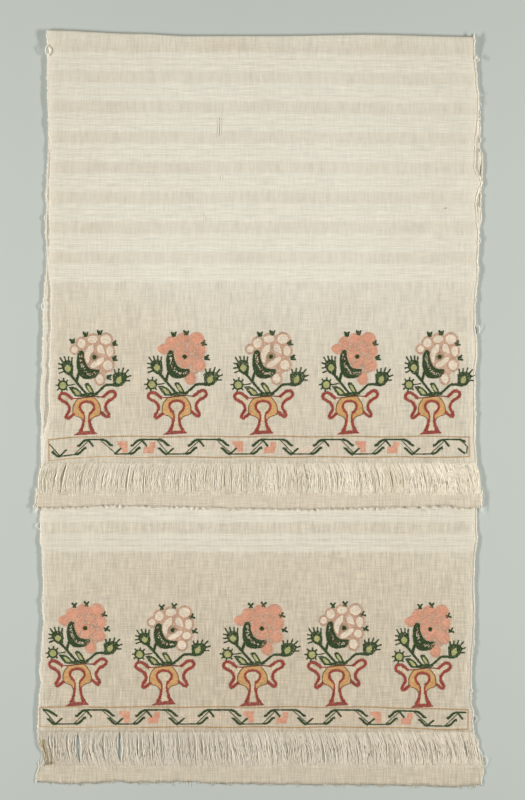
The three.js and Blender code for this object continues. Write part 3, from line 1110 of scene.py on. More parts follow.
class Needlework:
    """Lays stitches on the cloth, sorted by thread.

    A chart is drawn in its own millimetres. The place, turn and lean set before drawing carry it onto
    the cloth.
    """

    thickness = 0.42
    # the shortest stitch that an area is filled with, and how high the raised lines stand on the cloth
    shortest = 0.35
    raised = 0.2
    # how unevenly the stitches are placed, lifted, turned and sized
    astray = 0.05
    tilt = 0.08
    uneven = 0.12

    def __init__(self, face: Height, seed: int) -> None:
        """Starts with no stitches.

        Args:
            face: height of the cloth's face at a place.
            seed: seed of the small differences between stitches.
        """
        self.face = face
        self.random = np.random.default_rng(seed)
        self.rows: dict[Thread, list[Array]] = {thread: [] for thread in Thread}
        self.place_at(0, 0)

    def place_at(
        self, x: float, y: float, turn: float = 0.0, stretch: float = 1.0, rises: tuple = ((0, 0), (1, 0))
    ) -> None:
        """Says where the next chart goes.

        Args:
            x: place of its origin across the cloth.
            y: place of its origin along the cloth.
            turn: how far it is turned.
            stretch: how wide it comes out.
            rises: height in the chart, and how much higher its stitches there come out.
        """
        self.rises = rises
        self.origin = np.array([x, y], dtype=float)
        self.turn = turn
        self.stretch = stretch

    def _put(
        self, thread: Thread, centres: Array, angles: Array, lengths: Array, width: float, lift: float
    ) -> None:
        """Carries stitches from the chart onto the cloth.

        Args:
            thread: the thread.
            centres: the middle of each stitch, in the chart.
            angles: its direction.
            lengths: its length.
            width: its width.
            lift: how far it stands on the cloth.
        """
        c, s = math.cos(self.turn), math.sin(self.turn)
        risen = centres[:, 1] + look_up(self.rises, 1, centres[:, 1])
        charted = np.column_stack([centres[:, 0] * self.stretch, risen])
        spots = charted @ np.array([[c, s], [-s, c]]) + self.origin
        jitter = self.random
        spots = spots + jitter.normal(0, self.astray, spots.shape)
        count = len(spots)
        columns = [
            spots,
            self.face(spots[:, 0], spots[:, 1]) + lift + jitter.uniform(0, self.astray, count),
            angles + self.turn + jitter.normal(0, self.tilt, count),
            lengths * jitter.normal(1, self.uneven, count),
            width * jitter.normal(1, self.uneven, count),
            np.full(count, self.thickness),
            jitter.uniform(0, 1, count),
        ]
        self.rows[thread].append(np.column_stack(columns))

    def fill(
        self, thread: Thread, outline: Path, angle: float = 0.0, pitch: float = 0.8, stitch: float = 2.8,
        holes: Sequence[Path] = (), lift: float = 0.05, kept: float = 1.0,
    ) -> None:
        """Fills an area with rows of flat stitches.

        Args:
            thread: the thread.
            outline: the area's outline.
            angle: the direction of the stitches.
            pitch: the distance between the rows.
            stitch: the longest stitch.
            holes: outlines of what stays bare.
            lift: how far the stitches stand on the cloth.
            kept: share of the stitches that are still there.
        """
        c, s = math.cos(-angle), math.sin(-angle)
        spin = np.array([[c, s], [-s, c]])
        loops = [np.asarray(loop, dtype=float) @ spin for loop in (outline, *holes)]
        low, high = loops[0][:, 1].min(), loops[0][:, 1].max()
        centres, lengths = [], []
        for k, level in enumerate(np.arange(low + pitch / 2, high, pitch)):
            crossings: list[float] = []
            for loop in loops:
                ahead = np.roll(loop, -1, axis=0)
                crosses = (loop[:, 1] > level) != (ahead[:, 1] > level)
                a, b = loop[crosses], ahead[crosses]
                crossings += list(a[:, 0] + (level - a[:, 1]) / (b[:, 1] - a[:, 1]) * (b[:, 0] - a[:, 0]))
            crossings.sort()
            for start, end in zip(crossings[::2], crossings[1::2]):
                offset = (k % 3) * stitch / 3
                first = math.floor((start - offset) / stitch) * stitch + offset
                cuts = [start, *np.arange(first + stitch, end, stitch), end]
                for left, right in zip(cuts, cuts[1:]):
                    if right - left > self.shortest and self.random.random() <= kept:
                        shift, growth = self.random.normal(0, 0.15), self.random.normal(0.45, 0.25)
                        centres.append(((left + right) / 2 + shift, level))
                        lengths.append(right - left + growth)
        if centres:
            back = np.array(centres) @ spin.T
            self._put(thread, back, np.full(len(back), angle), np.array(lengths), pitch * 1.5, lift)

    def satin(
        self, thread: Thread, points: Path, width: float | Point, pitch: float = 0.7, slant: float = 0.45
    ) -> None:
        """Runs a raised line of stitches that lie across it, with an uneven edge.

        Args:
            thread: the thread.
            points: the points that the line runs through.
            width: its width, or its widths at the start and the end.
            pitch: the distance between the stitches.
            slant: how far they lean from square across, in radians.
        """
        path = curve_through(points, pitch)
        angles = directions(path) + math.pi / 2 + slant
        start, end = width if isinstance(width, tuple) else (width, width)
        widths = np.linspace(start, end, len(path)) * (1.4 + self.random.normal(0, self.uneven, len(path)))
        self._put(thread, path, angles, widths, pitch * 1.6, self.raised)

    def rungs(self, thread: Thread, points: Path, reach: float, pitch: float, width: float) -> None:
        """Puts short stitches square across a line, like the rungs of a ladder.

        Args:
            thread: the thread.
            points: the points that the line runs through.
            reach: the stitches' length.
            pitch: the distance between them.
            width: their width.
        """
        path = curve_through(points, pitch)
        angles = directions(path) + math.pi / 2
        self._put(thread, path, angles, np.full(len(path), reach), width, self.raised)

    def running(
        self, thread: Thread, points: Path, width: float, stitch: float = 1.7, closed: bool = False,
        lift: float = 0.25,
    ) -> None:
        """Runs a thin line of stitches end to end on a smooth curve through the points."""
        self._end_to_end(thread, curve_through(points, stitch, closed), width, lift)

    def straight(self, thread: Thread, points: Path, width: float, stitch: float = 1.7) -> None:
        """Runs a thin line of stitches end to end along straight stretches."""
        self._end_to_end(thread, even_steps(np.array(points, dtype=float), stitch), width, 0.25)

    def _end_to_end(self, thread: Thread, path: Array, width: float, lift: float) -> None:
        """Puts one stitch between each two points of a path.

        Args:
            thread: the thread.
            path: the path's points, one row each.
            width: the stitches' width.
            lift: how far they stand on the cloth.
        """
        run = np.diff(path, axis=0)
        lengths = np.hypot(run[:, 0], run[:, 1])
        angles = np.arctan2(run[:, 1], run[:, 0])
        self._put(thread, (path[:-1] + path[1:]) / 2, angles, lengths * 1.4, width, lift)


def lens(tip: Point, base: Point, half: float) -> list[Point]:
    """Outline of a leaf.

    Args:
        tip: its tip.
        base: its base.
        half: half its width.

    Returns:
        The outline's points.
    """
    a, b = np.array(tip), np.array(base)
    along = b - a
    side = np.array([-along[1], along[0]]) / np.hypot(*along)
    shares = np.linspace(0, 1, 9)
    bulge = np.sin(shares * math.pi)
    upper = [tuple(a + along * t + side * half * w) for t, w in zip(shares, bulge)]
    lower = [tuple(a + along * t - side * half * w) for t, w in zip(shares, bulge)]
    return upper + lower[-2:0:-1]


def oval(centre: Point, radii: Point, turn: float = 0.0) -> list[Point]:
    """Outline of an oval.

    Args:
        centre: its middle.
        radii: its two radii.
        turn: its turn, in degrees.

    Returns:
        The outline's points.
    """
    angles = np.linspace(0, 2 * math.pi, 20, endpoint=False)
    x, y = radii[0] * np.cos(angles), radii[1] * np.sin(angles)
    c, s = math.cos(math.radians(turn)), math.sin(math.radians(turn))
    return [(centre[0] + px * c - py * s, centre[1] + px * s + py * c) for px, py in zip(x, y)]


def ribbon(points: Path, width: float) -> list[Point]:
    """Outline of a band of even width that follows a curve.

    Args:
        points: the points that the curve runs through.
        width: its width.

    Returns:
        The outline's points.
    """
    path = curve_through(points, 1.5)
    angle = directions(path) + math.pi / 2
    side = np.column_stack([np.cos(angle), np.sin(angle)]) * width / 2
    return [*map(tuple, path + side), *map(tuple, (path - side)[::-1])]


class Bloom(Enum):
    """The two ways in which the flower is worked."""

    PALE = "pale"
    SALMON = "salmon"


@dataclass
class VaseMotif:
    """A vase on a foot, with one large flower, buds and leaves.

    The origin lies on the axis of the vase's body, level with the underside of the foot. Hand work
    drifts: the foot and the pedestal stand a little left of the axis, and the handles lean.
    """

    line: float = 3.2
    foot_at: float = -0.9
    pedestal_at: float = -0.4
    handles_at: float = 0.8
    lean: float = 0.04
    foot: tuple = (
        (-14.2, -1.1), (-8.9, 2.6), (-5.9, 7), (-3.1, 7.2), (-3, 3.5), (5.2, 3.8), (5.6, 7.4), (8.2, 6.7),
        (10.2, 2.9), (13, 0.7), (7.1, 0), (-3.3, -0.6),
    )
    # Half outlines: distance from the upright axis, height.
    pedestal: tuple = ((7, 3.6), (5.4, 6.6), (4.2, 9.8), (3.6, 13), (3.3, 16.6))
    keyhole: tuple = (
        (2.2, 13.6), (2.2, 20.6), (3.5, 23.2), (6.2, 25.8), (8, 29.2), (7.7, 32.9), (4.6, 35.8), (0, 36.7),
    )
    body: tuple = (
        (4.4, 14.6), (5.6, 17.2), (9, 19.6), (12.8, 20.7), (15.4, 22.2), (15.8, 28.6), (14.6, 33.4),
        (12, 37.4), (8.8, 41),
    )
    handle: tuple = (
        (17.4, 40.4), (21.6, 44), (25.4, 46.6), (29.4, 46.7), (31.9, 43.9), (31.3, 40.9), (28.2, 38.5),
        (24.6, 36.7), (21.4, 33), (20.4, 29.2), (21.4, 26), (23.8, 22.4), (24.4, 19.2), (22.2, 18.6),
        (19.2, 20.6), (15.6, 23.6),
    )
    crescent: tuple = (
        (-8.8, 92.3), (-10.9, 86.8), (-11.3, 78.7), (-10.4, 71.6), (-6.9, 64.9), (-1.6, 61.9), (5.5, 62.2),
        (11.6, 64.2), (14.2, 68.2), (13.9, 72.3), (9.6, 72.3), (4.9, 73.2), (1.4, 75.6), (-1.1, 79.9),
        (-3, 85.8), (-3.2, 91.4), (-5.8, 93.7),
    )
    seam: tuple = ((-6.8, 89.6), (-6.2, 82), (-4.6, 75.6), (-1.2, 70.4), (3.6, 67.5), (10.6, 67.6))
    # Outer petals: x, y, radius across, radius up, turn in degrees.
    petals: tuple = (
        (-13.6, 94.8, 3.7, 3.5, 0), (-5.7, 101.6, 4.6, 5.1, -10), (7, 106.2, 5.7, 4.2, 8),
        (22, 106, 6.1, 5.3, 0), (26.6, 92.9, 3.8, 5.8, 0), (24.4, 77, 5.4, 5.1, -30),
        (15, 61.9, 4.2, 5.2, 15),
    )
    # Outlines of the three petals round the centre.
    inner_petals: tuple = (
        (
            (8.2, 100.6), (4.7, 99.9), (1.5, 97.4), (-1.1, 93.8), (-2.3, 89.7), (-2.1, 85.4), (-0.8, 81.8),
            (1.2, 79), (2.8, 80), (3.4, 82.6), (3.6, 85.8), (4.4, 88.8), (6.2, 91.2), (8.2, 92.8),
        ),
        (
            (11.8, 98), (13.6, 100.4), (16.6, 100.4), (18.6, 98.6), (19.8, 95.6), (20.8, 92.4), (21.2, 90),
            (19, 89.4), (16, 90.8), (13, 91.8), (11.6, 94.4),
        ),
        (
            (3.6, 76.4), (5.2, 79), (8.4, 81.2), (11.4, 83.4), (14.6, 85.2), (17.8, 86.2), (20.4, 85.4),
            (19.8, 82.4), (16.8, 79.2), (13.2, 76.2), (9.6, 74.2), (5.8, 74),
        ),
    )
    margin: float = 1.9
    heart: tuple = (
        (-9, 96), (-3, 101), (6, 105), (20, 105), (28, 99), (28.4, 84), (27, 74), (22, 67), (16, 65),
        (11, 66), (9, 71.6), (3, 74), (-2.4, 82), (-4, 92),
    )
    centre: Point = (8.9, 86.2)
    # Outline and light middle of the two leaves over the rim.
    leaves: tuple = (
        (
            ((-20.6, 52.8), (-15.4, 53.4), (-11.2, 51.6), (-7.4, 48.4), (-3.6, 43), (-8.4, 42), (-13.4, 42.6),
             (-16.4, 46.4)),
            ((-15.6, 50.6), (-12.6, 50.2), (-9.4, 47.4), (-7.2, 44.6), (-10.4, 44), (-13.2, 46.6)),
        ),
        (
            ((-2.6, 55.6), (-0.8, 57.6), (2.6, 57), (6, 52.6), (8.6, 47.2), (8.4, 44.6), (3.6, 45.4),
             (0.4, 50)),
            ((-0.2, 54.8), (1.8, 54.6), (4.8, 50.6), (6.4, 47.2), (3.8, 47.4), (1.4, 50.8)),
        ),
    )
    # Outline, light middle and spikes of the two buds on the stems and the round one on the stalk.
    buds: tuple = (
        (
            ((-28.4, 74.4), (-28.6, 79.8), (-24.6, 82.6), (-19.4, 82.8), (-16, 80), (-15.2, 73.5),
             (-15.8, 67), (-19, 65.6), (-22.6, 67), (-26.6, 70.4)),
            lens((-22, 78), (-20.8, 69.6), 3.4),
            (
                ((-27.2, 80.8), (-30.4, 86.2)), ((-23.8, 81.6), (-25.4, 87.2)),
                ((-20.6, 82), (-20.6, 87.4)), ((-17.2, 80.6), (-16.6, 86.4)),
                ((-27.4, 77.6), (-32.2, 79.2)), ((-27.4, 74.2), (-32.4, 73.4)),
                ((-25.4, 70.8), (-31.4, 68.2)),
            ),
        ),
        (
            ((29.8, 66.8), (33.4, 69.2), (38.2, 69.4), (43.4, 68.8), (46.8, 65), (44.8, 59.2),
             (40.8, 54.6), (36, 53), (30.4, 53.2)),
            lens((39, 65), (34.7, 55.8), 3.0),
            (
                ((32.6, 67.6), (31.8, 72.6)), ((36.2, 68.2), (36.8, 73.4)), ((40.2, 68.2), (42.2, 74.4)),
                ((43.6, 67.2), (47.8, 72.4)), ((45.4, 63.6), (50.6, 65.8)), ((44, 59.8), (49.4, 60)),
            ),
        ),
        (
            oval((-27.1, 54.8), (5.7, 5.7)),
            oval((-27.1, 54.8), (3.7, 3.7)),
            (
                ((-26.6, 59.8), (-26.3, 63.2)), ((-30.2, 58.6), (-32.2, 61.4)),
                ((-32.2, 55.2), (-35.4, 55)), ((-31, 51.8), (-33.6, 49.6)), ((-28, 49.8), (-28.6, 46.8)),
                ((-23.8, 51.2), (-22, 49)), ((-23.4, 58.4), (-21.6, 61)),
            ),
        ),
    )
    # x, y of the root and the direction in degrees of each small sprig round the flower
    sprigs: tuple = ((-3, 109.5, 92), (10.4, 111, 88), (28, 100.4, 24), (31.2, 84.4, 14))
    all_sprigs: tuple = (
        (-1, 110, 92), (15, 111.9, 88), (30.4, 100.6, 24), (30.2, 84.2, 14), (-15.6, 102.6, 102),
        (23.6, 63.8, -2),
    )
    # whether the sprigs' prongs run on behind their root
    crossed: bool = False

    def draw(self, work: Needlework, bloom: Bloom, extra: bool = False) -> None:
        """Works the whole motif.

        Args:
            work: the needlework, placed at the foot.
            bloom: how the flower is worked.
            extra: whether the flower has six sprigs, not four.
        """
        self._vase(work)
        self._stems(work)
        self._buds(work)
        self._flower(work, bloom)
        for x, y, turn in self.all_sprigs if extra else self.sprigs:
            self._sprig(work, (x, y), turn)

    def _leaning(self, points: Path, side: int) -> list[Point]:
        """Carries a half outline to one side of the vase, with the handles' lean."""
        return [(self.handles_at + side * x, y + side * x * self.lean) for x, y in points]

    def _vase(self, work: Needlework) -> None:
        """Foot, pedestal, keyhole, body and handles.

        Args:
            work: lays the stitches.
        """
        hole = mirrored(self.keyhole, 0.2)
        inner = mirrored(self.pedestal, self.pedestal_at)
        work.fill(Thread.OCHRE, mirrored(self.body, 0.0), angle=0.2, holes=[hole])
        upright = {"angle": math.pi / 2, "pitch": 0.9, "stitch": 2.4, "lift": 0.0}
        work.fill(Thread.METAL, inner, **upright)
        work.fill(Thread.METAL, hole, **upright)
        for side in (1, -1):
            lobe = self._leaning(self.handle, side)
            cheek = [(side * x, y) for x, y in self.body[3:]]
            work.fill(Thread.METAL, lobe + cheek, **upright)
            work.satin(Thread.RED, lobe, self.line)
            stem = [(self.pedestal_at + side * x, y) for x, y in self.pedestal]
            work.satin(Thread.RED, stem, (3.8, 2.2))
            work.running(Thread.BROWN, [(side * x, y) for x, y in self.body], 0.9)
        work.satin(Thread.RED, [(x, y) for x, y in hole if y > 22], 2.8)
        for side in (1, -1):
            neck = [(self.pedestal_at / 2 + side * (x + 0.5), y) for x, y in self.keyhole[:3]]
            work.satin(Thread.RED, neck, 1.7)
        rim = ((-18.6, 40), (-9, 40.2), (0, 41.4), (10, 42.2), (18.4, 41.6))
        work.running(Thread.RED, rim, 1.5)
        work.running(Thread.BROWN, rim[1:], 0.8, lift=0.4)
        bar = [(self.foot_at + x, y) for x, y in self.foot]
        work.fill(Thread.RED, bar, angle=math.pi / 2, stitch=3.2, pitch=0.7)

    def _stems(self, work: Needlework) -> None:
        """Stems, stalk, leaves and the green clump on the rim.

        Args:
            work: lays the stitches.
        """
        clump = ((-7.8, 42), (-4, 45.8), (1, 46.6), (6, 45.8), (12, 47.2), (13, 44), (4, 41.6))
        work.fill(Thread.DARK_GREEN, clump, angle=0.3, stitch=2.6)
        left = ((-0.2, 45), (-4.7, 50.2), (-9.8, 56.3), (-13.5, 60.9), (-17.4, 65.6), (-19.8, 69))
        work.satin(Thread.DARK_GREEN, left, (2.2, 2.8))
        work.satin(Thread.DARK_GREEN, ((-11.6, 58.6), (-10.4, 64), (-8.8, 69.4)), 2.8)
        right = ((9.4, 45), (14.2, 48.2), (17.7, 51.6), (21.8, 54.8), (26.9, 55.3), (32, 55.2), (36.6, 55.6))
        work.satin(Thread.DARK_GREEN, right, (2.2, 2.8))
        work.running(Thread.DARK_GREEN, ((-21.6, 54.9), (-18, 55.2), (-13, 56.2)), 1.7)
        for leaf, heart in self.leaves:
            work.fill(Thread.DARK_GREEN, leaf, angle=-0.7, stitch=2.0, pitch=0.7, holes=[heart])
            work.fill(Thread.LIGHT_GREEN, heart, angle=-0.9, stitch=2.4)

    def _buds(self, work: Needlework) -> None:
        """Three buds: two spiky ones on the stems and a round one on the stalk.

        Args:
            work: lays the stitches.
        """
        for outline, heart, spikes in self.buds:
            work.fill(Thread.DARK_GREEN, outline, angle=0.5, stitch=2.5, pitch=0.72, holes=[heart])
            work.fill(Thread.LIGHT_GREEN, heart, angle=0.4, stitch=2.6, lift=0.15)
            for spike in spikes:
                work.straight(Thread.DARK_GREEN, spike, 2.0, stitch=1.6)

    def _flower(self, work: Needlework, bloom: Bloom) -> None:
        """The large flower, and the green crescent with its speckled seam.

        Args:
            work: lays the stitches.
            bloom: how it is worked.
        """
        pale = bloom is Bloom.PALE
        ground = Thread.ROSE if pale else Thread.SALMON
        # A rose ground fills the whole heart. On the salmon flower it shows between the thinned rim stitches
        # as painted shade round the petals.
        work.fill(Thread.ROSE, self.heart, angle=0.05, pitch=1.0 if pale else 1.2, stitch=2.6, lift=0.0)
        outlines = [oval((x, y), (across, up), turn) for x, y, across, up, turn in self.petals]
        for x, y, across, up, turn in self.petals:
            rim = oval((x, y), (across + self.margin, up + self.margin), turn)
            work.fill(ground, rim, angle=0.1, stitch=2.2, kept=0.86, pitch=0.8)
            work.rungs(ground, rim + rim[:1], 2.0, 1.4, 0.75)
        for petal in (*outlines, *self.inner_petals):
            if pale:
                work.fill(Thread.PALE, petal, stitch=2.6, lift=0.3)
                if petal in self.inner_petals:
                    work.running(Thread.ROSE, petal, 0.7, stitch=1.4, closed=True, lift=0.4)
            else:
                work.fill(Thread.SALMON, petal, angle=0.3, stitch=2.0, lift=0.2)
                work.running(Thread.ROSE, petal, 0.9, stitch=1.3, closed=True, lift=0.25)
        if pale:
            work.fill(Thread.TAUPE, oval(self.centre, (4.9, 4.9)), angle=0.6, stitch=2.2, lift=0.36)
        else:
            work.fill(Thread.SALMON, oval(self.centre, (5.5, 5.5)), stitch=2.8, lift=0.25)
            work.fill(Thread.SALMON, oval((-16, 95.4), (5.4, 4.4), 24), stitch=2.8)
            work.fill(Thread.ROSE, self.heart, angle=0.4, pitch=0.8, stitch=0.7, lift=0.35, kept=0.1)
            work.fill(Thread.BLUSH, self.heart, angle=0.4, pitch=0.8, stitch=0.7, lift=0.35, kept=0.03)
        work.fill(Thread.DARK_GREEN, oval(self.centre, (2.3, 2.4)), pitch=0.6, stitch=2.2, lift=0.7)
        crescent = curve_through(self.crescent, 1.2, closed=True)
        work.fill(Thread.DARK_GREEN, crescent, angle=0.8, stitch=2.6, pitch=0.72, lift=0.25)
        specks = ((Thread.METAL, 3.4, 0.16), (Thread.BROWN, 3.4, 0.1), (Thread.PALE, 2.0, 0.1))
        for thread, reach, kept in specks:
            seam = ribbon(self.seam, reach)
            work.fill(thread, seam, angle=0.9, pitch=0.75, stitch=0.9, lift=0.55, kept=kept)

    def _sprig(self, work: Needlework, root: Point, turn: float) -> None:
        """Three short thick prongs on one broad root, or a small cross.

        Args:
            work: lays the stitches.
            root: where it grows from.
            turn: where it points, in degrees.
        """
        facing = math.radians(turn)
        side = np.array([-math.sin(facing), math.cos(facing)])
        ahead = np.array([math.cos(facing), math.sin(facing)])
        base = np.array(root)
        if self.crossed:
            for spread in (2.6, -2.6):
                ends = (base - ahead * 0.4 - side * spread * 0.6, base + ahead * 4.8 + side * spread)
                work.satin(Thread.DARK_GREEN, ends, 1.7, pitch=0.5, slant=0.2)
            return
        work.straight(Thread.DARK_GREEN, (base - side * 2.0, base + side * 2.0), 2.6, stitch=1.6)
        for spread, reach in ((0.3, 3.6), (2.5, 4.6), (-2.5, 4.4)):
            prong = (base + side * spread * 0.5, base + ahead * reach + side * spread)
            work.satin(Thread.DARK_GREEN, prong, 1.6, pitch=0.5, slant=0.2)


@dataclass
class MeanderBorder:
    """A frame of two thin lines round a green meander, with twigs, dashes and small flowers."""

    left: float
    right: float
    top: float
    bottom: float
    # start and end of each lower run, start and end of the upper run that follows it
    cells: tuple
    lead: tuple
    sink: Callable[[float], float]
    # x and height of the thin line and of the dash that close the last cell
    tail: tuple = ()
    closing: tuple = ()
    # x and height of the dash over the leading line
    opening: tuple = ()
    inset: float = 3.3

    def _at(self, x: float, rise: float) -> Point:
        """A point at x, at a height above the meander's lower runs."""
        return (x, self.bottom + self.inset + rise + self.sink(x))

    def _from(self, x: float, rise: float, steps: Path, across: int = 1, up: int = 1) -> list[Point]:
        """Points that lie some steps from a place, counted to either side and up or down."""
        return [self._at(x + across * step, rise + up * climb) for step, climb in steps]

    def draw(self, work: Needlework) -> None:
        """Works the frame and each cell of the meander.

        Args:
            work: lays the stitches.
        """
        self._frame(work)
        height = self.top - self.bottom - 2 * self.inset
        first = self.cells[0][0]
        self._line(work, self._from(0, 0, (*self.lead, (first, 0))), 1.3)
        self._hooked(work, self._from(first, 0, ((0.6, -0.2), (4, 1.2), (7.6, 5)), -1))
        if self.opening:
            self._thick(work, self._from(0, 0, self.opening))
        for k, (start, low_end, high, high_end) in enumerate(self.cells):
            self._line(work, (self._at(start, 0), self._at(low_end, 0.2)), 1.7)
            self._line(work, (self._at(low_end - 2.6, 0.2), self._at(high + 2.2, height - 0.6)), 1.1)
            self._line(work, (self._at(high, height), self._at(high_end, height)), 2.2)
            self._hooked(work, self._from(low_end, 0, ((-0.6, 0), (4, 1.8), (9.2, 6.8))))
            self._hooked(work, self._from(high, height, ((-0.8, 0), (4, 1.6), (9.2, 6.6)), -1, -1))
            self._thick(work, self._from(start, 0, ((-0.4, 0), (3.4, 3.4), (6.8, 6.4))), 1.9)
            self._thick(work, self._from(high, height, ((0.6, 0.2), (3.6, 3.8), (6.6, 7.4)), 1, -1), 1.9)
            if high_end + 8 < self.right:
                fall = self._from(high_end, height, ((-0.6, 0), (3.8, 1.8), (8.6, 6.2)), 1, -1)
                self._hooked(work, fall if high_end + 12 < self.right else fall[:2])
            if k + 1 < len(self.cells):
                ahead = self.cells[k + 1][0]
                self._line(work, (self._at(high_end - 3.4, height - 0.4), self._at(ahead + 1.0, 0.8)), 1.1)
                # the plainer border has one falling line without its lower dash
                if k > 0 or self.opening:
                    self._hooked(work, self._from(ahead, 0, ((0.8, -0.2), (4, 1.6), (8.2, 6)), -1))
            if k % 2 == 1:
                self._blossoms(work, start, high)
            else:
                self._speckles(work, (start + 1, low_end + 4), 2.0)
                self._speckles(work, (high - 3, high_end + 2), 5.0)
        if self.tail:
            self._line(work, self._from(0, 0, self.tail), 1.3)
            self._thick(work, self._from(0, 0, self.closing), 2.0)

    def _frame(self, work: Needlework) -> None:
        """Two long thin lines with short rungs on their inner side, closed at both ends.

        Args:
            work: lays the stitches.
        """
        xs = np.linspace(self.left, self.right, 60)
        for level in (self.top, self.bottom):
            wave = [(x, level + self.sink(x) + 0.4 * math.sin(x / 13 + level)) for x in xs]
            work.running(Thread.OCHRE, wave, 0.85, stitch=1.45)
            bare = 0 if level == self.top else 14
            work.rungs(Thread.UMBER, wave[bare:], 1.9, 2.15, 0.6)
        for x in (self.left, self.right):
            ends = ((x, self.bottom + self.sink(x)), (x, self.top + self.sink(x)))
            work.straight(Thread.OCHRE, ends, 0.6, stitch=1.45)
            work.rungs(Thread.UMBER, ends, 1.3, 2.15, 0.4)

    def _line(self, work: Needlework, points: Path, width: float) -> None:
        """A thin green line, cut off at the frame.

        Args:
            work: lays the stitches.
            points: its points.
            width: its width.
        """
        kept = [(min(max(x, self.left + 1), self.right - 1), y) for x, y in points]
        if math.dist(kept[0], kept[-1]) > 2:
            work.straight(Thread.DARK_GREEN, kept, width, stitch=1.6)

    def _hooked(self, work: Needlework, points: Path) -> None:
        """A short thick dash that ends in one level stitch."""
        (before, _), (x, y) = points[-2:]
        self._thick(work, [*points, (x + math.copysign(1.8, x - before), y + 0.1)])

    def _thick(self, work: Needlework, points: Path, width: float = 2.4) -> None:
        """A short thick dash, left out where the frame would cut it."""
        if all(self.left < x < self.right for x, _ in points):
            work.satin(Thread.DARK_GREEN, points, width, pitch=0.65)

    def _blossoms(self, work: Needlework, start: float, high: float) -> None:
        """Two salmon flowers of small squares, one in each half of the cell.

        Args:
            work: lays the stitches.
            start: x of the cell's start.
            high: x where its upper run starts.
        """
        first = ((2.5, 14.4), (14.3, 14), (14.3, 1.8), (8.2, 2), (8, 6.4), (5.6, 7.4), (5, 9.6), (2.5, 10))
        second = (
            (2.6, 1), (14.2, 1), (14.6, 6), (15.9, 7.4), (15.9, 13.2), (10, 13.6), (9.8, 9.6), (8.2, 8.2),
            (3.6, 7.8), (2.6, 6),
        )
        for origin, shape in ((start, first), (high, second)):
            work.fill(Thread.SALMON, self._from(origin, 0, shape), stitch=2.2, pitch=0.9, kept=0.96)

    def _speckles(self, work: Needlework, span: Point, low: float) -> None:
        """A faint patch of scattered pale stitches."""
        patch = self._from(0, low, ((span[0], 0), (span[1], 0), (span[1], 8), (span[0], 8)))
        work.fill(Thread.BLUSH, patch, angle=math.pi / 2, pitch=1.5, stitch=1.2, lift=0.0, kept=0.22)


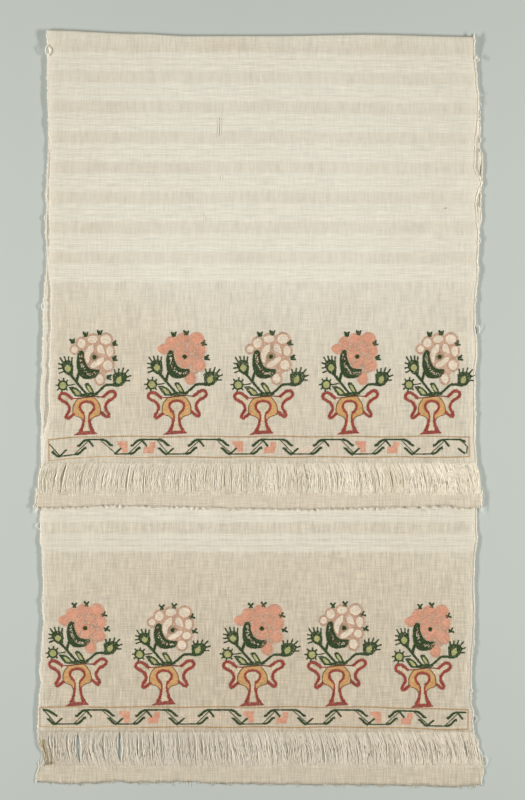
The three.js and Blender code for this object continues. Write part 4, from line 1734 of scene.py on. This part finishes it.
@dataclass
class Embroidery:
    """Both worked ends: five motifs over a meander border on the front layer and on the back layer."""

    body: WovenBody
    # x of the vase's axis, y of the foot's underside, stretch across, how the flower is worked, how far
    # the vase and the flower stand higher than in the chart
    front_row: tuple = (
        (-192.4, -28.9, 0.98, Bloom.PALE, 0, 0), (-91.9, -28.3, 1.02, Bloom.SALMON, 0.4, 0),
        (4.8, -28.3, 1.02, Bloom.PALE, 0, 0), (101.6, -28.2, 0.96, Bloom.SALMON, 0, 0),
        (193.6, -28.3, 0.95, Bloom.PALE, 0, 0),
    )
    back_row: tuple = (
        (-203.4, -332.4, 1, Bloom.SALMON, 4.4, 0.4), (-106.3, -331.4, 1.02, Bloom.PALE, 1.4, -2.8),
        (-7.6, -332.4, 1.05, Bloom.SALMON, 2.5, 0), (87.2, -332.4, 1, Bloom.PALE, 2.7, 0.4),
        (183, -334.2, 0.96, Bloom.SALMON, 1.5, 0.8),
    )
    # how the back row's motifs differ: where foot and pedestal stand, the two lowest petals, the sprigs
    back_foot: Point = (0.6, 0.5)
    back_petals: tuple = ((24.6, 79.6, 4.4, 4.6, -10), (19.4, 66.8, 4.7, 5.8, 12))
    front_cells: tuple = (
        (-222.2, -204.2, -191.8, -174.4), (-161, -143.6, -131.9, -110.6), (-102.4, -80.4, -68, -44),
        (-31.9, -7.6, 3.6, 27.2), (37.2, 59.6, 72, 95.5), (105.6, 129.1, 140.8, 162.7),
        (173, 194.6, 206.4, 225.4),
    )
    back_cells: tuple = (
        (-227.1, -204.7, -194, -172.2), (-159.1, -138.6, -126.8, -101.3), (-90.4, -67.6, -56.8, -30.5),
        (-19.7, 6.7, 17.1, 41.5), (53.5, 74.2, 85.7, 111.4), (122.7, 144, 156.3, 176.7),
        (189.1, 210.5, 221.7, 232.1),
    )

    def build(self, maker: Maker) -> list[Piece]:
        """Works both ends and makes one piece for each thread.

        Args:
            maker: makes the pieces.

        Returns:
            The pieces.
        """
        front = Needlework(self.body.front_top, seed=21)
        back = Needlework(self.body.back_top, seed=34)
        motif = VaseMotif()
        foot, pedestal = self.back_foot
        later = replace(motif, foot_at=foot, pedestal_at=pedestal, crossed=True)
        later_pale = replace(later, petals=motif.petals[:5] + self.back_petals)
        for work, row in ((front, self.front_row), (back, self.back_row)):
            for k, (x, y, stretch, bloom, vase, flower) in enumerate(row):
                rises = ((0, 0), (22, vase), (40, vase), (56, vase * 0.8), (86, flower), (112, flower))
                work.place_at(x, y, work.random.normal(0, 0.008), stretch, rises)
                chart = motif if work is front else later_pale if bloom is Bloom.PALE else later
                chart.draw(work, bloom, extra=work is front and k == 0)
            work.place_at(0, 0)
        front.straight(Thread.TAUPE, ((207.6, 224), (210, 224.4)), 0.7)
        MeanderBorder(
            left=-235.0, right=235.5, top=-31.4, bottom=-54.3, cells=self.front_cells,
            lead=((-234.2, 14.6),), sink=lambda x: -4.0 * math.exp(-(((x + 240) / 26) ** 2)),
            tail=((225.4, 16.2), (233.6, 8.2), (232.4, 0.6)),
            closing=((223.2, 6.2), (227, 3.4), (230.6, 0.8)),
        ).draw(front)
        MeanderBorder(
            left=-245.5, right=234.5, top=-334.2, bottom=-356.6, cells=self.back_cells,
            lead=((-239.6, 14.6),), sink=lambda x: -3.0 / (1 + math.exp(-(x - 175) / 22)),
            opening=((-241.2, 16), (-236, 15.2), (-225.8, 9)),
        ).draw(back)
        pieces = []
        for thread in Thread:
            rows = np.vstack(front.rows[thread] + back.rows[thread])
            piece = maker.stitches(f"stitches_{thread.name.lower()}", rows, thread.value.make())
            pieces.append(seat(piece, thread.value.slot))
        return pieces


# ---- open bands


@dataclass
class OpenBand:
    """The unwoven end of a layer: loose warps that run to a plain-woven end strip with a frayed edge."""

    side: str
    cloth_y: float
    strip_y: float
    cloth_span: Point
    strip_span: Point
    base: float
    seed: int
    # y of the strip's lower edge at each x
    lower_edge: tuple
    # y, left, right of the strip's short sides
    ends: tuple
    # x, width, share of the way down, half reach and slant of each wide gap between bundles
    gaps: tuple
    # share across and how far the warps bow sideways there
    bows: tuple
    # share across and how far the warps have slipped sideways at their foot
    drift: tuple
    face: Height
    # shades of the lower warps, darker than the upper warps': painted shade in the gaps between the upper
    # warps
    under_painted_shade: Point = (0.3, 0.6)
    gather: float = 0.3
    hang: float = 0.3
    lift: tuple = (0, 1, 0)
    # how far the outermost warps are drawn in, left and right
    drawn_in: Point = (0, 0)
    warps: int = 890
    under_warps: int = 340
    bundles: int = 116
    cut_ends: int = 520
    radius: float = 0.32
    under_radius: float = 0.42
    # how far whole bundles differ in shade
    tones: float = 0.1
    # x, y, side and number of the fine hairs at the strip's corners
    tufts: tuple = ()
    # how far on each side of a wide gap the warps make way for it, and the share that stay in it
    parting: float = 9.0
    stray: float = 0.08
    # share of the way down where a warp's side of each gap is told
    sorted_at: float = 0.4
    # half turns on the way down and reach of each warp's own curls
    curls: tuple = ((1, 0.5), (2, 0.45), (3.4, 0.4), (5.3, 0.35), (7.6, 0.26))
    steps: int = 16
    strip_sheet: float = 0.7

    def _lift(self, x: Array) -> Array:
        """Height of the end strip where it stands off the cloth below."""
        centre, half, height = self.lift
        return height * bell(x - centre, half)

    def _spread(self, shares: Array, down: Array) -> Array:
        """Place across the band of warps that would hang straight, by share across and share down.

        Args:
            shares: share of the way across.
            down: share of the way down.

        Returns:
            Places across the cloth.
        """
        (top_left, top_right), (foot_left, foot_right) = self.cloth_span, self.strip_span
        left = top_left + (foot_left - top_left) * down
        right = top_right + (foot_right - top_right) * down
        waist = bell(down - 0.62, 0.24)
        left_in, right_in = self.drawn_in
        straight = left + (right - left) * shares + look_up(self.drift, 1, shares) * down
        return straight + waist * (left_in * np.exp(-shares * 30) - right_in * np.exp(-(1 - shares) * 30))

    def _part(self, x: Array, home: Array, down: Array) -> Array:
        """Pushes warps aside at the wide gaps, each towards the side that it starts on.

        Args:
            x: places of the warps across the cloth.
            home: places that tell on which side of a gap each warp starts.
            down: share of the way down.

        Returns:
            The warps' new places across the cloth.
        """
        for gap_x, opening, at, reach, slant in self.gaps:
            side = np.where(home > gap_x, 1.0, -1.0)
            middle = gap_x + slant * (np.sin(down * math.pi / 2) - 0.6)
            away = np.clip(side * (x - middle), 0.0, self.parting)
            opened = opening / 2 * bell(down - at, reach)
            moved = middle + side * (opened + away * (1 - opened / self.parting))
            x = np.where(np.abs(x - middle) < self.parting, moved, x)
        return x

    def _top_routes(self, random: np.random.Generator) -> tuple[list[Array], Array]:
        """The route and shade of every upper warp, from its last pick in the cloth to its first in the strip.

        Neighbouring warps have gathered into rounded bundles that bow to one side or the other, and
        each warp keeps small curls of its own.

        Args:
            random: source of the small differences.

        Returns:
            The points of each warp, and its shade.
        """
        count = self.warps
        down = np.linspace(0, 1, self.steps)[None, :]
        shares = (np.linspace(0.001, 0.999, count) + random.normal(0, 0.0004, count))[:, None]
        marks = np.cumsum(random.uniform(0.3, 1.7, self.bundles))
        middles = (marks[1:] + marks[:-1]) / 2 / marks[-1]
        halves = np.diff(marks) / 2 / marks[-1]
        nearest = np.abs(shares - middles[None, :]).argmin(axis=1)

        def each(values: Array) -> Array:
            """The value of each warp's own bundle."""
            return values[nearest][:, None]

        size = len(middles)
        pull = each(self.gather * random.uniform(0.1, 1.0, size))
        bow = each(look_up(self.bows, 1, middles) + random.normal(0, 1.1, size))
        swing = each(random.normal(0, 0.8, size))
        pile = each(random.uniform(0.1, 1.0, size))
        waist = np.sin(down * math.pi) ** 0.8
        x = self._spread(shares + (each(middles) - shares) * pull * waist, down)
        x = x + bow * waist + swing * 0.6 * np.sin(down * 2 * math.pi)
        for turns, reach in self.curls:
            own = random.normal(0, reach, (count, 1))
            x = x + own * np.sin(2 * math.pi * (turns * down / 2 + random.uniform(0, 1, (count, 1)))) * waist
        parted = self._part(x, self._spread(shares, np.full_like(down, self.sorted_at)), down)
        x = np.where(random.random((count, 1)) < self.stray, x, parted)
        start = self.cloth_y + random.uniform(0.4, 3.6, (count, 1))
        end = self.strip_y - random.uniform(0.8, 4.5, (count, 1))
        y = start + (end - start) * down
        dome = np.sqrt(np.clip(1 - ((shares - each(middles)) / each(halves)) ** 2, 0, 1))
        loft = random.uniform(0.0, 0.7, (count, 1)) + 0.65 * pile * dome
        wave = 0.3 * np.sin(2 * math.pi * (3.3 * down + random.uniform(0, 1, (count, 1))))
        hanging = self.base + self.hang + (loft + wave) * waist + self._lift(x) * down
        slow = np.sin(shares * 57) * np.sin(shares * 23 + self.seed)
        tone = 0.83 + each(random.normal(0, self.tones, size)) + self.tones * slow
        tone = tone + random.normal(0, 0.12, shares.shape)
        return self._laid(x, y, hanging, down), np.clip(tone[:, 0], 0, 1)

    def _laid(self, x: Array, y: Array, hanging: Array, down: Array) -> list[Array]:
        """Brings each warp up onto the cloth's face at its start and onto the strip's face at its end.

        Args:
            x: x of each warp's points.
            y: their y.
            hanging: their height where the warp hangs free.
            down: share of the way down.

        Returns:
            The points of each warp.
        """
        top = self.face(x[:, 0], y[:, 0])[:, None] + 0.02 - 0.4 * (1 - smooth(down * 10))
        foot = self.base + 0.1 + self.strip_sheet + 0.05 + self._lift(x) - 0.4 * smooth((down - 0.9) * 10)
        height = hanging + (top - hanging) * (1 - smooth((down - 0.1) * 4))
        height = height + (foot - height) * smooth((down - 0.72) * 4.5)
        return list(np.stack([x, y, height], axis=-1))

    def _under_routes(self, random: np.random.Generator) -> list[Array]:
        """The routes of the lower warps, which lie flatter and more evenly.

        Args:
            random: source of the small differences.

        Returns:
            The points of each warp.
        """
        down = np.linspace(0, 1, 8)[None, :]
        count = self.under_warps
        shares = np.linspace(0.002, 0.998, count)[:, None]
        x = self._spread(shares, down) + random.normal(0, 0.3, (count, 1)) * np.sin(down * math.pi)
        x = x + look_up(self.bows, 1, shares) * np.sin(down * math.pi)
        x = self._part(x, self._spread(shares, np.full_like(down, self.sorted_at)), down)
        y = self.cloth_y + 1.0 + (self.strip_y - self.cloth_y - 2.0) * down
        low = self.base + self.under_radius + min(self.hang, 0.0) * 0.6
        return self._laid(x, np.broadcast_to(y, x.shape), np.full_like(x, low), down)

    def _pick_paths(self, random: np.random.Generator) -> list[Array]:
        """Last weft picks of the cloth and of the strip, which have slipped in among the warps.

        Args:
            random: source of the small differences.

        Returns:
            The points of each pick.
        """
        paths = []
        x = np.arange(self.strip_span[0] + 8, self.strip_span[1] - 8, 3.5)
        slips = ((-1, (0.4, 1.4)), (1, (0.3, 0.9, 1.7, 2.8, 4.3, 6.4)))
        for way, slipped in slips:
            y = self.cloth_y if way < 0 else self.strip_y
            for slip in slipped:
                pace = np.cumsum(random.normal(0, 0.22 + 0.07 * slip, len(x)))
                pace -= np.linspace(pace[0], pace[-1], len(x))
                level = y + way * (slip + 0.5 * pace)
                at_cloth = self.face(x, np.full_like(x, self.cloth_y + 1.0))
                at_strip = self.base + 0.9 + self._lift(x)
                over = 0.25 + 0.35 * np.sin(x * 0.9 + slip) * min(slip / 3, 1.0)
                height = (at_cloth if way < 0 else at_strip) + over - 0.04 * slip
                paths.append(np.column_stack([x, level, height]))
        return paths

    def build_warps(self, maker: Maker, material: Material) -> Piece:
        """Makes the loose warps.

        Args:
            maker: makes the piece.
            material: its material.

        Returns:
            The finished piece.
        """
        random = np.random.default_rng(self.seed)
        upper, tones = self._top_routes(random)
        lower = self._under_routes(random)
        picks = self._pick_paths(random)
        radii = [
            self.radius * random.uniform(0.7, 1.5, len(upper)),
            self.under_radius * random.uniform(0.9, 1.2, len(lower)),
            np.full(len(picks), 0.15),
        ]
        # the lower warps are painted darker, as painted shade between the upper warps
        shades = [tones, random.uniform(*self.under_painted_shade, len(lower)), np.full(len(picks), 0.6)]
        skein = Skein([*upper, *lower, *picks], np.concatenate(radii), np.concatenate(shades))
        piece = maker.yarns(f"{self.side}_loose_warps", skein, material)
        return seat(piece, "loose_warps", f"{self.side}_open_band")

    def _edge(self, x: Array) -> Array:
        """Lower edge of the strip at x.

        Args:
            x: places across the strip.

        Returns:
            The edge's y there.
        """
        ragged = 0.35 * np.sin(x / 5.3) * np.sin(x / 31.0)
        ragged = ragged + 0.4 * np.sin(x / 1.9 + 3 * np.sin(x / 13.0 + self.seed))
        return look_up(self.lower_edge, 1, x) + ragged

    def build_strip(self, material: Material) -> Piece:
        """Makes the plain-woven end strip, whose cut edge lifts in places.

        Args:
            material: its material.

        Returns:
            The finished piece.
        """
        across = np.linspace(0, 1, 281)
        rows, uvs = [], []
        for share in np.linspace(0, 1, 7):
            rough = self.strip_span[0] + across * (self.strip_span[1] - self.strip_span[0])
            y = self._edge(rough) + (self.strip_y - self._edge(rough)) * share
            left, right = look_up(self.ends, 1, y), look_up(self.ends, 2, y)
            x = left + (right - left) * across
            ripple = 0.12 * np.sin(x / 4.3) * np.sin(y / 5.0 + x / 31)
            lifted = 1.1 * smooth(np.sin(x / 4.1 + 2 * np.sin(x / 17))) * (1 - share) ** 4
            z = self.base + self.strip_sheet / 2 + 0.1 + ripple + lifted + self._lift(x)
            rows.append(np.column_stack([x, y, z]))
            uvs.append(np.column_stack([x + 250, y + 40 * self.seed]))
        piece = shell(f"{self.side}_end_strip", np.array(rows), np.array(uvs), self.strip_sheet, material)
        return seat(piece, "loose_warps", f"{self.side}_open_band")

    def build_fray(self, maker: Maker, material: Material) -> Piece:
        """Makes the cut warp ends along the lower edge and the cords at the strip's short sides.

        Args:
            maker: makes the piece.
            material: its material.

        Returns:
            The finished piece.
        """
        random = np.random.default_rng(self.seed + 1)
        skein = Skein()
        span = (self.ends[-1][1] + 1.0, self.ends[-1][2] - 1.0)
        for x in np.sort(random.uniform(span[0], span[1], self.cut_ends)):
            length = random.gamma(2, 0.6)
            lean = random.normal(0, 0.5)
            y = float(self._edge(np.array([x]))[0])
            z = self.base + 0.45 + float(self._lift(np.array([x]))[0])
            steps = np.array([-1.2, 0.0, 0.5, 1.0])
            bend = random.normal(0, 0.3)
            sideways = x + lean * steps * length + bend * np.maximum(steps, 0) ** 2
            path = np.column_stack([sideways, y - steps * length, z - 0.15 * steps])
            path[0, 1] = y + 1.2
            skein.lay(path, 0.24 * random.uniform(0.6, 1.4), random.uniform(0.3, 1))
        for column in (1, 2):
            foot = float(self._edge(np.array([self.ends[0][column]]))[0])
            y = np.linspace(self.strip_y + 3.0, foot - 0.5, 16)
            for _ in range(3):
                pace = np.cumsum(random.uniform(0.5, 1.3, len(y)))
                x = look_up(self.ends, column, y) + (0.4 + 0.5 * np.sin(pace)) * (1 if column == 2 else -1)
                z = self.base + 0.75 + 0.3 * np.cos(pace)
                skein.lay(np.column_stack([x, y, z]), 0.34, 0.9)
        for x, y, side, count in self.tufts:
            for _ in range(count):
                start = np.array([x + random.normal(0, 1), y + random.uniform(-4, 22), self.base + 0.8])
                bend = random.uniform((0.5, 1, 0.2), (3.6, 6, 1.2)) * (side, -1, -1)
                share = np.linspace(0, 1, 5)[:, None]
                hair = start + bend * share + np.array([side * 1.5, 0, 0]) * share * (1 - share)
                skein.lay(hair, 0.11, 0.9)
        return seat(maker.yarns(f"{self.side}_frayed_ends", skein, material), "loose_warps")


def front_open_band(body: WovenBody) -> OpenBand:
    """The front layer's open band, which lies on the back layer.

    Args:
        body: the towel's woven body.

    Returns:
        The band, ready to build.
    """
    return OpenBand(
        side="front", cloth_y=body.front_end, strip_y=-94.5,
        cloth_span=(-242, 243), strip_span=(-246, 248.5), base=2.0, seed=5,
        lower_edge=((-252, -110.5), (-218, -110.5), (-161, -108), (-83, -109.6), (-10, -111.3), (52, -112.2),
                    (158, -109.8), (209, -108.2), (237, -111.4), (249, -109)),
        ends=((-111, -251.5, 248.5), (-104, -249.5, 249), (-94.5, -247.5, 249.5)),
        gaps=((-217.5, 0.3, 0.6, 0.3, -7.5), (-145.5, 0.7, 0.6, 0.3, -5), (-127.5, 0.5, 0.45, 0.2, -2),
              (147.5, 0.8, 0.5, 0.3, 6)),
        drift=((0, 0), (0.02, -2), (0.06, -4), (0.2, -3.2), (0.35, -2), (0.5, 0), (0.65, 1.6),
               (0.8, 3.2), (0.95, 4), (0.985, 2), (1, 0)),
        bows=((0, -3), (0.2, -2.4), (0.4, -1.4), (0.5, 1), (0.7, 2.8), (0.87, 3), (1, 1.6)),
        face=body.front_top, lift=(192, 26, 1), gather=0.38, hang=-0.4, under_painted_shade=(0.55, 0.8),
        tones=0.18, tufts=((-247, -110, -1, 90), (249, -109, 1, 26)),
    )


def back_open_band(body: WovenBody) -> OpenBand:
    """The back layer's open band, which lies on the floor.

    Args:
        body: the towel's woven body.

    Returns:
        The band, ready to build.
    """
    return OpenBand(
        side="back", cloth_y=body.back_end, strip_y=-399.0,
        cloth_span=(-247.4, 240.4), strip_span=(-245.5, 250.5), base=0.0, seed=17,
        lower_edge=((-250, -417.8), (-206, -419.8), (-154, -417.4), (-136, -418.5), (-77, -417.7),
                    (-43, -419.8), (91, -420.9), (192, -422), (210, -423.6), (228, -423), (250, -421.4)),
        ends=((-424, -248, 248), (-412, -249, 250), (-404, -246, 251.5), (-399, -245.5, 251.5)),
        gaps=((-200.5, 3.2, 0.4, 0.32, 3), (-155, 5.8, 0.42, 0.36, 0.6), (-134.8, 1, 0.28, 0.22, 1.4),
              (-116.5, 1.6, 0.3, 0.24, 0.6)),
        drift=((0, 0), (0.1, 1), (0.3, 0), (0.7, 0), (0.9, 1.6), (1, 0)),
        bows=((0, -2), (0.06, -3.4), (0.2, -2.6), (0.34, 0), (0.5, 1.2), (0.7, 2), (0.9, 3), (1, 0.5)),
        face=body.back_top, gather=0.4, hang=0.3, under_painted_shade=(0.48, 0.74), drawn_in=(5.6, 0),
    )


# ---- selvedges


@dataclass
class Selvedge:
    """Selvedge of a layer: an outermost cord woven into the edge, and the small loops of the turning weft."""

    name: str
    edges: tuple
    span: Point
    height: Height
    seed: int
    radius: float = 0.55
    step: float = 1.2
    loops: int = 30

    def _drift(self, random: np.random.Generator, y: Array) -> Array:
        """A slow sideways drift, about 1 either way.

        Args:
            random: source of the small differences.
            y: places along the selvedge.

        Returns:
            The drift there.
        """
        drift = np.zeros_like(y)
        for length, share in ((41, 0.4), (19, 0.35), (8.5, 0.3), (5.1, 0.2)):
            drift += share * np.sin(y / length * 2 * math.pi + random.uniform(0, 6.3))
        return drift

    def build(self, maker: Maker, material: Material) -> Piece:
        """Makes both selvedges of the layer: a cord, two strands of scallops, and loops that stand out.

        Args:
            maker: makes the piece.
            material: its material.

        Returns:
            The finished piece.
        """
        random = np.random.default_rng(self.seed)
        skein = Skein()
        y = np.arange(self.span[0], self.span[1], self.step)
        for column, outward in ((1, -1), (2, 1)):
            edge = look_up(self.edges, column, y)
            drift = self._drift(random, y)
            level = self.height(edge - outward * 1.0, y)
            core = np.column_stack([edge + outward * (0.4 * drift - 0.15), y, level + 0.1])
            # the right selvedge's yarns are painted darker, as painted shade on that side
            painted_shade = 0.35 if column == 2 else 0.0
            skein.lay(core, self.radius, 1.0 - painted_shade)
            for strand in range(2):
                pace = np.cumsum(random.uniform(0.35, 1.0, len(y)))
                swell = 0.85 + 0.6 * self._drift(random, y * 0.6)
                x = edge + outward * (0.4 * drift - 0.1 + np.clip(swell, 0.15, 1.9) * np.abs(np.sin(pace)))
                z = level + 0.2 + 0.25 * np.cos(2 * pace)
                scallops = np.column_stack([x, y + 0.3 * np.cos(pace), np.maximum(z, 0.4)])
                skein.lay(scallops, self.radius * 0.68, 0.9 - 0.2 * strand - painted_shade)
            for centre in random.uniform(self.span[0] + 8, self.span[1] - 8, self.loops):
                length, bulge = random.uniform(3, 10), 0.6 + random.gamma(2, 0.4)
                turn = np.linspace(0, math.pi, 9)
                rows = centre - length / 2 * np.cos(turn)
                x = look_up(self.edges, column, rows) + outward * (bulge * np.sin(turn) - 0.3)
                z = self.height(x - outward * 2.0, rows) + 0.2 + 0.3 * np.sin(turn)
                loop = np.column_stack([x, rows, np.maximum(z, 0.4)])
                skein.lay(loop, random.uniform(0.28, 0.45), random.uniform(0.7, 1))
        return seat(maker.yarns(self.name, skein, material), "woven_cotton")


@dataclass
class LooseThreads:
    """Single threads that have worked loose: picks off the selvedges and long warp loops on the face."""

    body: WovenBody
    # radius and x, y and height over the floor of each thread, with 0 for on the cloth's face
    routes: tuple = (
        (0.5, ((242.4, 393.4, 3.6), (244.2, 392.6, 4), (243.8, 390.8, 4), (242.4, 391.4, 3.8),
               (242.6, 393, 3.6), (244.6, 394.6, 3.4))),
        (0.3, ((244, 393, 4.2), (246.6, 391, 4.4), (246.4, 389, 4), (243.8, 388.2, 3.8))),
        (0.18, ((245, 354, 3.4), (248, 352, 3), (250.5, 350.5, 2.4), (251.8, 351, 2))),
        (0.18, ((245, 345, 3.4), (247, 343, 2.8), (248.8, 340.6, 2.2), (249.2, 338.6, 1.6))),
        (0.3, ((243, 94, 3.4), (246.5, 92, 2.6), (247.4, 88, 1.6), (246.4, 84, 1.2))),
        (0.22, ((241, -343, 1.4), (243.4, -344.4, 1.6), (244.4, -347, 1.2), (243, -350, 1),
                (241, -351, 1.2))),
        (0.17, ((249, -391, 1.2), (253.6, -389.4, 1.8), (256, -393, 1.4), (254.8, -399, 1),
                (251, -402, 1.2))),
        (0.3, ((-44.9, 326, 0), (-45.4, 320, 0), (-44.9, 313, 0), (-45.9, 303, 0))),
        (0.3, ((-42.6, 325, 0), (-42.2, 319, 0), (-42.9, 312, 0), (-42.5, 306, 0))),
        (0.35, ((-63, 219.5, 0), (-62, 215.5, 0), (-60.6, 214.5, 0), (-60, 210, 0), (-61, 207.6, 0))),
        (0.35, ((-42.4, 260.6, 0), (-41.2, 258.4, 0), (-41.8, 256.4, 0), (-39.8, 255.6, 0))),
        (0.45, ((-235.8, 407, 4), (-238.4, 403, 4.6), (-238.2, 398, 4.2), (-235.6, 394.6, 3.8))),
        (0.45, ((-235.6, 406, 4), (-233.6, 402, 4.5), (-233.8, 398.5, 4.3), (-235.4, 395.2, 3.8))),
        (0.4, ((-240.4, 119.5, 1.8), (-243, 116, 2.2), (-242.8, 112, 2), (-240.6, 108.6, 1.6))),
        (0.3, ((-241.4, 51.5, 1.6), (-243.6, 49.8, 1.6), (-243.9, 47.2, 1.4), (-241.8, 45, 1.4))),
    )

    def build(self, maker: Maker, material: Material) -> Piece:
        """Makes the loose threads.

        Args:
            maker: makes the piece.
            material: its material.

        Returns:
            The finished piece.
        """
        skein = Skein()
        for radius, route in self.routes:
            points = np.array(route, dtype=float)
            on_face = points[:, 2] == 0
            points[on_face, 2] = self.body.front_top(points[on_face, 0], points[on_face, 1]) + radius
            flat = curve_through([tuple(p) for p in points[:, :2]], 0.9)
            share = np.linspace(0, 1, len(flat))
            z = np.interp(share, np.linspace(0, 1, len(points)), points[:, 2])
            skein.lay(np.column_stack([flat, z]), radius, 1.0)
        return seat(maker.yarns("loose_threads", skein, material, sides=6), "woven_cotton")


@dataclass
class Tangle:
    """Stained warps at the left end of the back band, twisted loosely together."""

    axis: tuple = ((-243.4, -370), (-241.6, -377), (-238.6, -384), (-236.6, -390), (-235.2, -397))
    strands: int = 12
    radius: float = 0.24
    spread: float = 4.4

    def build(self, maker: Maker, material: Material) -> Piece:
        """Makes the strands wound round one another, with a dark knot of loose turns at their foot.

        Args:
            maker: makes the piece.
            material: its material.

        Returns:
            The finished piece.
        """
        random = np.random.default_rng(8)
        line = curve_through(self.axis, 0.9)
        side = directions(line) + math.pi / 2
        skein = Skein()
        share = np.linspace(0, 1, len(line))
        for k in range(self.strands):
            turn = np.linspace(0, 2.6 + random.normal(0, 1.2), len(line)) + 2 * math.pi * k / self.strands
            reach = self.spread * (1.0 - 0.65 * share) * random.uniform(0.3, 1)
            x = line[:, 0] + np.cos(side) * reach * np.cos(turn)
            y = line[:, 1] + np.sin(side) * reach * np.cos(turn) + random.normal(0, 1)
            z = 1.75 + 0.3 * reach * np.sin(turn)
            skein.lay(np.column_stack([x, y, z]), self.radius, random.uniform(0.3, 1))
        for centre, count, size in (((-235.6, -396.8), 5, 1.3), ((-230, -396.2), 2, 0.7)):
            for _ in range(count):
                angle = np.linspace(0, random.uniform(4, 7), 14) + random.uniform(0, 6)
                x = centre[0] + random.normal(0, size / 2) + size * random.uniform(0.5, 1.2) * np.cos(angle)
                y = centre[1] + random.normal(0, size / 2) + size * random.uniform(0.5, 1.2) * np.sin(angle)
                z = 1.9 + 0.3 * np.sin(angle * 2)
                skein.lay(np.column_stack([x, y, z]), self.radius, random.uniform(0, 0.35))
        return seat(maker.yarns("tangled_warps", skein, material), "loose_warps")


# ---- studio


@dataclass
class Studio:
    """Pale board, a low soft light on each side, even light from above, and a camera overhead."""

    aim: Point = (4.2, 9.5)
    field_height: float = 896.0
    distance: float = 3200.0
    sensor: float = 36.0
    side_distance: float = 2.3
    side_height: float = 1.0
    side_power: float = 26.2
    side_size: tuple[float, float] = (0.3, 1.2)
    side_spread: float = 115.0
    ambient: float = 0.205

    def camera(self) -> None:
        """Sets up the camera, straight above the towel, with a long lens."""
        data = bpy.data.cameras.new("camera")
        data.sensor_width = self.sensor
        data.lens = self.distance * self.sensor / self.field_height
        data.clip_end = 20.0
        camera = bpy.data.objects.new("camera", data)
        camera.location = (self.aim[0] * MM, self.aim[1] * MM, self.distance * MM)
        bpy.context.collection.objects.link(camera)
        bpy.context.scene.camera = camera

    def lights(self) -> None:
        """Sets up the two side lights and the even light from all round."""
        for side in (-1, 1):
            data = bpy.data.lights.new("side light", "AREA")
            data.shape = "RECTANGLE"
            data.size, data.size_y = self.side_size
            data.energy = self.side_power
            data.spread = math.radians(self.side_spread)
            lamp = bpy.data.objects.new("side light", data)
            lamp.location = (side * self.side_distance, 0.0, self.side_height)
            lamp.rotation_euler = (0.0, side * math.atan2(self.side_distance, self.side_height), 0.0)
            bpy.context.collection.objects.link(lamp)
        world = bpy.data.worlds.new("studio")
        world.use_nodes = True
        sky = world.node_tree.nodes["Background"]
        sky.inputs["Color"].default_value = (1.0, 1.0, 1.0, 1.0)
        sky.inputs["Strength"].default_value = self.ambient
        bpy.context.scene.world = world
        bpy.context.scene.view_settings.view_transform = "Standard"

    def floor(self) -> None:
        """Lays the board that the towel lies on."""
        half = 3000.0
        corners = [(-half, -half, 0), (half, -half, 0), (half, half, 0), (-half, half, 0)]
        board = new_object("board", np.array(corners, dtype=float), [], [(0, 1, 2, 3)])
        board.data.materials.append(PaintedBoard().make())


def main() -> None:
    """Builds the studio and the towel, piece by piece."""
    logging.basicConfig(level=logging.INFO, format="%(name)s: %(message)s")
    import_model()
    studio = Studio()
    studio.camera()
    studio.lights()
    studio.floor()

    strip_cotton = LoomedCotton(
        name="front end-strip cotton", plain="#DACDB7", aged="#D1C3AA", texture=1.2,
        ageing=((-700, 0.3), (700, 0.3)), stains=(), has_bands=False,
    )
    aged_cotton = replace(
        strip_cotton, name="back end-strip cotton", plain="#D3C8B2", aged="#C8BCA3", texture=1.4
    )
    warp_yarn = CottonYarn("unwoven cotton warp", "#FBF3E0", "#CFBE9A")
    aged_yarn = CottonYarn("yellowed unwoven cotton warp", "#F3EAD8", "#B9A988")
    edge_yarn = CottonYarn("selvedge cotton", "#F6EFDF", "#D8CCB2")
    tangle_yarn = CottonYarn("stained tangled cotton", "#E2D5B4", "#9A8459")

    maker = Maker()
    body = WovenBody()
    sheet = seat(body.build(LoomedCotton().make()), "woven_cotton", "cloth")
    Embroidery(body).build(maker)

    edge_material = edge_yarn.make()
    front, back = front_open_band(body), back_open_band(body)
    for band, cotton, yarn in ((front, strip_cotton, warp_yarn), (back, aged_cotton, aged_yarn)):
        yarn_material = yarn.make()
        band.build_warps(maker, yarn_material)
        strip = band.build_strip(cotton.make())
        band.build_fray(maker, yarn_material)

    for selvedge in (
        Selvedge("front_selvedges", body.front_edges, (body.front_end, 420.0), body.front, seed=41),
        Selvedge("back_selvedges", body.back_edges, (body.back_end, 420.0), body.back, seed=43),
    ):
        selvedge.build(maker, edge_material)
    LooseThreads(body).build(maker, edge_material)
    Tangle().build(maker, tangle_yarn.make())


if __name__ == "__main__":
    main()
